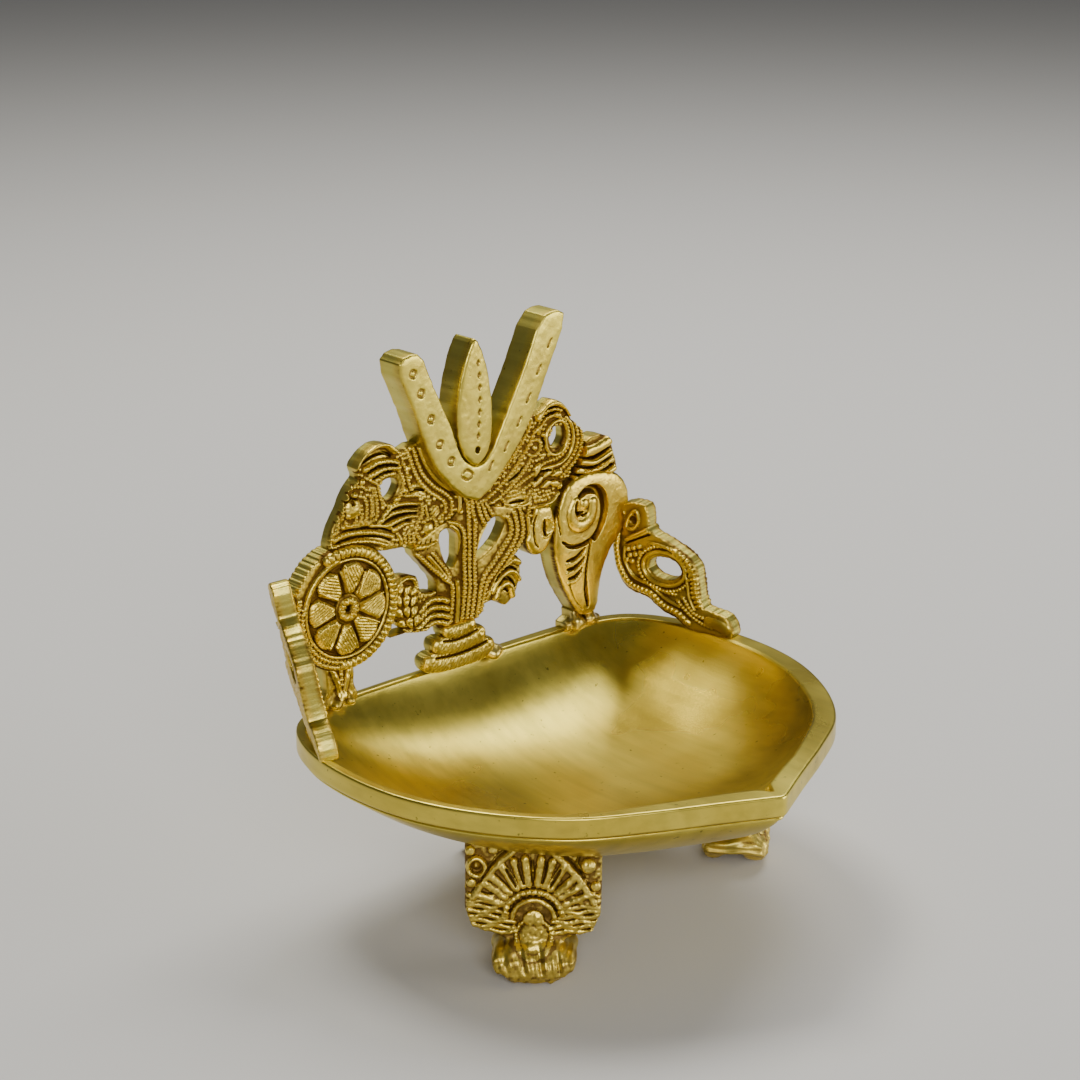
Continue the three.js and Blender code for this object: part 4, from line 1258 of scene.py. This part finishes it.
def build_wing(node, side):
    """An openwork side piece, on the right where side is 1 and on the left where it is -1."""
    wing = Casting(node, WING_THICKNESS, 0.15, 20 + side, place=wing_frame(side))
    wing.pillow(0.2, 1.2)
    # edges are filed across in fine strokes, fainter on the worn left casting
    strokes = np.sin((wing.u * 0.8 + wing.v) * 7.5) + 0.6 * np.sin((wing.v - wing.u * 0.6) * 4.3)
    wing.edge += (0.05 if side > 0 else 0.022) * strokes
    # top block with its small cell, and the strap below
    wing.ridge([(3.2, 19.4), (4.3, 21.9), (5.6, 22.6), (6, 20.6), (4.6, 18.8)], 0.8, 0.7, closed=True)
    wing.dots([(4.9, 20.7)], 0.9, -0.5)
    wing.ridge([(1.5, 18.4), (1.7, 20.4), (2.6, 22.4)], 1.1, 0.6, beads=0.9)
    wing.ridge([(3.4, 16.4), (6, 17.8), (8.4, 19.2)], 1.2, 0.7)
    wing.groove([(3.2, 15.6), (6, 17), (8.6, 18.2)], 0.5, 0.6)
    # scales between the strap and the opening
    for w, h in (
        (3.6, 14.4), (4.9, 14.9), (6.2, 15.4), (4.1, 13.2), (5.4, 13.6), (4.6, 12), (3.4, 12.1),
        (6.6, 14.1),
    ):
        wing.dots([(w, h)], 0.62, 0.75)
    # rings round the opening
    for grow, beads in ((0.9, 0.0), (2.0, 0.8)):
        ring = oval(12.1, 11.7, 4 + grow, 2.6 + grow)
        wing.ridge(ring, 0.85, 0.7, beads=beads, closed=True, core=0.4)
    wing.ridge([(8.6, 16.6), (12, 16.4), (15.6, 14.8), (17.4, 12)], 0.7, 0.6)
    # rope along the lower edge, with a smooth line inside it
    rope = [
        (1.1, 17), (1.0, 13.8), (1.9, 9.9), (4.3, 7.1), (8.7, 6.1), (11.9, 4.0), (15.3, 2.9),
        (17.7, 1.3),
    ]
    wing.ridge(rope, 1.6, 0.95, beads=0.95, core=0.7)
    wing.ridge([(2.9, 14.6), (3.1, 11.6), (5.2, 8.8), (9, 7.6), (12.4, 5.6), (15.8, 4.4)], 0.7, 0.7)
    # notched band down the outer edge
    band = [(14.2, 15.7), (17.2, 13.9), (18.8, 11), (19.3, 7.6), (20.4, 4.9)]
    wing.ridge(band, 1.9, 0.85, beads=0.95, core=0.3)
    wing.ridge([(16.9, 12.3), (17.6, 9.6), (18, 6.8), (19.2, 4.4)], 0.6, 0.7)
    wing.rows(
        FINE,
        [(15.2, 5.6), (16.8, 4.2), (18.6, 2.8), (21, 1.8), (23.6, 1.3)],
        [(16.4, 6.6), (17.6, 5), (19, 3.6), (21.4, 2.9)],
        [(9.4, 7.9), (12.6, 6.9), (15.2, 6.8)],
    )
    wing.ridge([(22.6, 2.4), (24.6, 2.2), (26.2, 1.6)], 2.6, 0.7)
    wing.rear = wing.height * (0.85 if side > 0 else 0.35)
    if side < 0:
        # the left casting is worn smooth outside and filed across
        wing.height = 0.14 * wing.height + 0.03 * np.sin((wing.v + 0.2 * wing.u) * 9)
    wing.roughen(0.12)
    wing.build()


build_crest()
build_wheel()
build_pedestal()
build_stem()
build_leaves()
build_left_shoulder()
build_right_shoulder()
build_shell()
build_wing("wing_right", 1)
build_wing("wing_left", -1)


# ---------------------------------------------------------------- legs

LEG_PLATE = [
    (-11.7, 27), (-11.9, 13.2), (-10.6, 9.8), (-7.8, 8.9), (-5.2, 7.6), (5.2, 7.4),
    (7.6, 8.4), (10.2, 9.4), (11.6, 12.6), (11.9, 27),
]
FAN_CENTRE = 12.2  # height of the middle of the shell's ribs
LEG_FOOT = [
    (-5.2, 8), (-5.4, 6.8), (-7.9, 4.6), (-6.3, 2.2), (-3.6, -0.4), (3.6, -0.4),
    (6.3, 2.2), (7.9, 4.6), (5.4, 6.8), (5.2, 8),
]
# The foot seen from its side: toe in front, heel behind, as distance outwards and height.
FOOT_SIDE = [
    (-2.2, 9), (-4.0, 7.0), (-5.7, 4.8), (-6.4, 2.4), (-5.7, 0.5), (-4.2, -0.4), (-2.7, 0.2),
    (-1.2, 1.9), (0.8, 2.1), (2.3, 0.4), (4.0, -0.4), (5.8, 0.3), (6.5, 2.0), (5.7, 4.6), (4.0, 6.8),
    (2.2, 9),
]


def build_leg(node, seed):
    """A leg cast as a ribbed shell over a clawed foot."""
    leg = Casting(node, LEG_THICKNESS, 0.16, seed, leg_frame(node), LEG_PLATE, LEG_FOOT)
    leg.height -= 0.3
    # wide ribs fanning out above the arches, the middle ones with deep gaps between them
    for number, angle in enumerate(np.linspace(22, 158, 12)):
        leg.ridge(ray(0, FAN_CENTRE, angle + 1.5 * math.sin(number * 2.3), (6.0, 8.4, 10.9)), 1.5, 0.75)
    leg.cuts(0.65, 1.0, *(ray(0, FAN_CENTRE, angle, (6.4, 8.4, 10.2)) for angle in (62, 76, 91, 105, 118)))
    leg.ridge(arc(0, 11.6, 5.1, 8, 172), 1.25, 0.8, beads=0.95, core=0.75)
    leg.ridge(arc(0, 11.4, 3.7, 5, 175), 1.0, 0.65)
    leg.dots(arc(0, 11.6, 4.4, 20, 164, 10), 0.38, -0.5)
    # a ring in one upper corner, a knob in the other, and the straps below them
    leg.ridge(oval(-9.9, 21.4, 1.5, 1.7, 10), 0.9, 0.9, closed=True)
    leg.dots([(-9.9, 21.4)], 0.8, -0.8)
    leg.dots([(9.6, 21.8)], 1.4, 1.1)
    leg.cuts(0.8, 0.8, [(8.0, 23.4), (7.6, 21.6), (8.6, 20)])
    leg.ridge([(-3.4, 24.6), (-6.4, 21.6), (-8.6, 18.8), (-10.6, 15.4)], 1.3, 0.7)
    leg.groove([(-4.6, 24.8), (-7.4, 21.8), (-9.4, 18.6)], 0.6, 0.7)
    leg.ridge([(3.6, 24.2), (6.4, 21.2), (8.6, 18.2), (10.6, 14.6)], 1.3, 0.7)
    leg.groove([(4.8, 24.4), (7.4, 21.6), (9.6, 18.2)], 0.6, 0.7)
    for u, v in ((-10.8, 18.2), (10.9, 17.8), (-11, 24.4), (10.6, 25), (-7, 24.6), (7.4, 24.4)):
        leg.dots([(u, v)], 0.9, 0.55)
    # fine uneven waves on both sides of the arches
    for level in np.arange(8.7, 16.2, 0.95):
        for way in (-1, 1):
            spread = np.linspace(4.6 if level > 11 else 3.4, 11.4, 10)
            side = [(way * u, level + 0.2 * math.sin(u * 1.3 + level * 2 + way) + 0.04 * u) for u in spread]
            leg.ridge(side, 0.95, 0.42)
    leg.dots([(0, 11.2)], 1.9, 0.7)
    leg.dots([(0, 8.2)], 2.6, 0.8)
    leg.ridge(arc(0, 8.2, 3.1, 0, 360, 40), 0.8, 0.5, beads=0.85)
    leg.roughen(0.22, 0.5)
    leg.rear = 0.4 * smooth_noise(leg.u.shape, 14, seed + 40)
    leg.build(extra=add_foot, depth=(-5.4, 6.0))


def add_foot(leg, solid, w):
    """Joins the heel and toe to the plate, then trims the top to meet the bowl."""
    v = leg.v[0]
    front = distance_to(loop(LEG_FOOT), leg.u, leg.v)
    side_w, side_v = np.meshgrid(w - leg.thickness / 2, v, indexing="ij")
    profile = distance_to(loop(FOOT_SIDE), side_w, side_v).T
    # claw folds down the toe and heel, leaf veins on the foot's flanks
    waist = np.clip(1 - np.abs(leg.v - 3.6) / 4, 0, 1)
    folds = 0.42 * np.abs(np.cos(leg.u * 0.95 + 0.1 * leg.v)) + 0.14 * np.cos(leg.u * 4.1 + leg.v * 0.9)
    veins = np.sin(2.5 * (side_v + 0.16 * side_w**2 * np.sign(side_w) * 0.5 - 0.35 * side_w)).T
    flank = front[:, :, None] - 0.24 * veins[None] * np.clip(leg.v / 3, 0, 1)[:, :, None]
    foot = soft_max(flank, profile[None] - (folds * waist)[:, :, None] + 0.3, 1.7)
    foot += 0.2 * smooth_noise(leg.u.shape, 6, leg.seed + 8)[:, :, None]
    solid = -soft_max(-solid, -foot, 0.9)
    u2, w2 = np.meshgrid(leg.u[:, 0], w, indexing="ij")
    x = leg.place[0][0] * u2 + leg.place[0][2] * w2 + leg.place[0][3]
    y = leg.place[1][0] * u2 + leg.place[1][2] * w2 + leg.place[1][3]
    ceiling = belly_height(x, y) + 0.7
    solid = np.maximum(solid, v[None, :, None] - ceiling[:, None, :])
    return np.maximum(solid, -v[None, :, None])


for number, name in enumerate(LEG_FACINGS):
    build_leg(name, 30 + number)


# ---------------------------------------------------------------- floor and light


FLOOR_REACH = 3.0  # metres from the middle to each side
FLOOR_GAP = 0.0002


def add_floor():
    """A plain pale floor just under the feet."""
    corners = ((-1, -1), (1, -1), (1, 1), (-1, 1))
    points = [(x * FLOOR_REACH, y * FLOOR_REACH, -FLOOR_GAP) for x, y in corners]
    mesh = bpy.data.meshes.new("floor")
    mesh.from_pydata(points, [], [(0, 1, 2, 3)])
    floor = bpy.data.objects.new("floor", mesh)
    bpy.context.scene.collection.objects.link(floor)
    material = bpy.data.materials.new("floor")
    material.use_nodes = True
    shader = material.node_tree.nodes["Principled BSDF"]
    shader.inputs["Base Color"].default_value = (0.62, 0.60, 0.57, 1)
    shader.inputs["Roughness"].default_value = 0.75
    mesh.materials.append(material)


def add_light(name, place, aim, size, power, color=(1, 1, 1)):
    """A soft box that faces a point, in metres and watts."""
    data = bpy.data.lights.new(name, "AREA")
    data.shape = "RECTANGLE"
    data.size, data.size_y = size
    data.energy = power
    data.color = color
    lamp = bpy.data.objects.new(name, data)
    bpy.context.scene.collection.objects.link(lamp)
    lamp.location = place
    lamp.rotation_mode = "QUATERNION"
    lamp.rotation_quaternion = (Vector(aim) - Vector(place)).to_track_quat("-Z", "Y")


add_floor()
add_light("key", (0.06, 0.40, 0.80), (0, 0.01, 0.03), (0.30, 0.30), 4.4, (1.0, 0.99, 0.92))
add_light("side", (0.46, 0.22, 0.70), (0, 0.01, 0.03), (0.42, 0.36), 3.6)
add_light("front", (-0.50, -0.72, 0.46), (0, 0, 0.06), (0.55, 0.35), 5.6)
add_light("fill", (0.58, -0.62, 0.16), (0, 0, 0.05), (0.6, 0.3), 3.8)
world = bpy.data.worlds.new("studio")
world.use_nodes = True
world.node_tree.nodes["Background"].inputs["Color"].default_value = (0.46, 0.47, 0.48, 1)
world.node_tree.nodes["Background"].inputs["Strength"].default_value = 0.24
bpy.context.scene.world = world
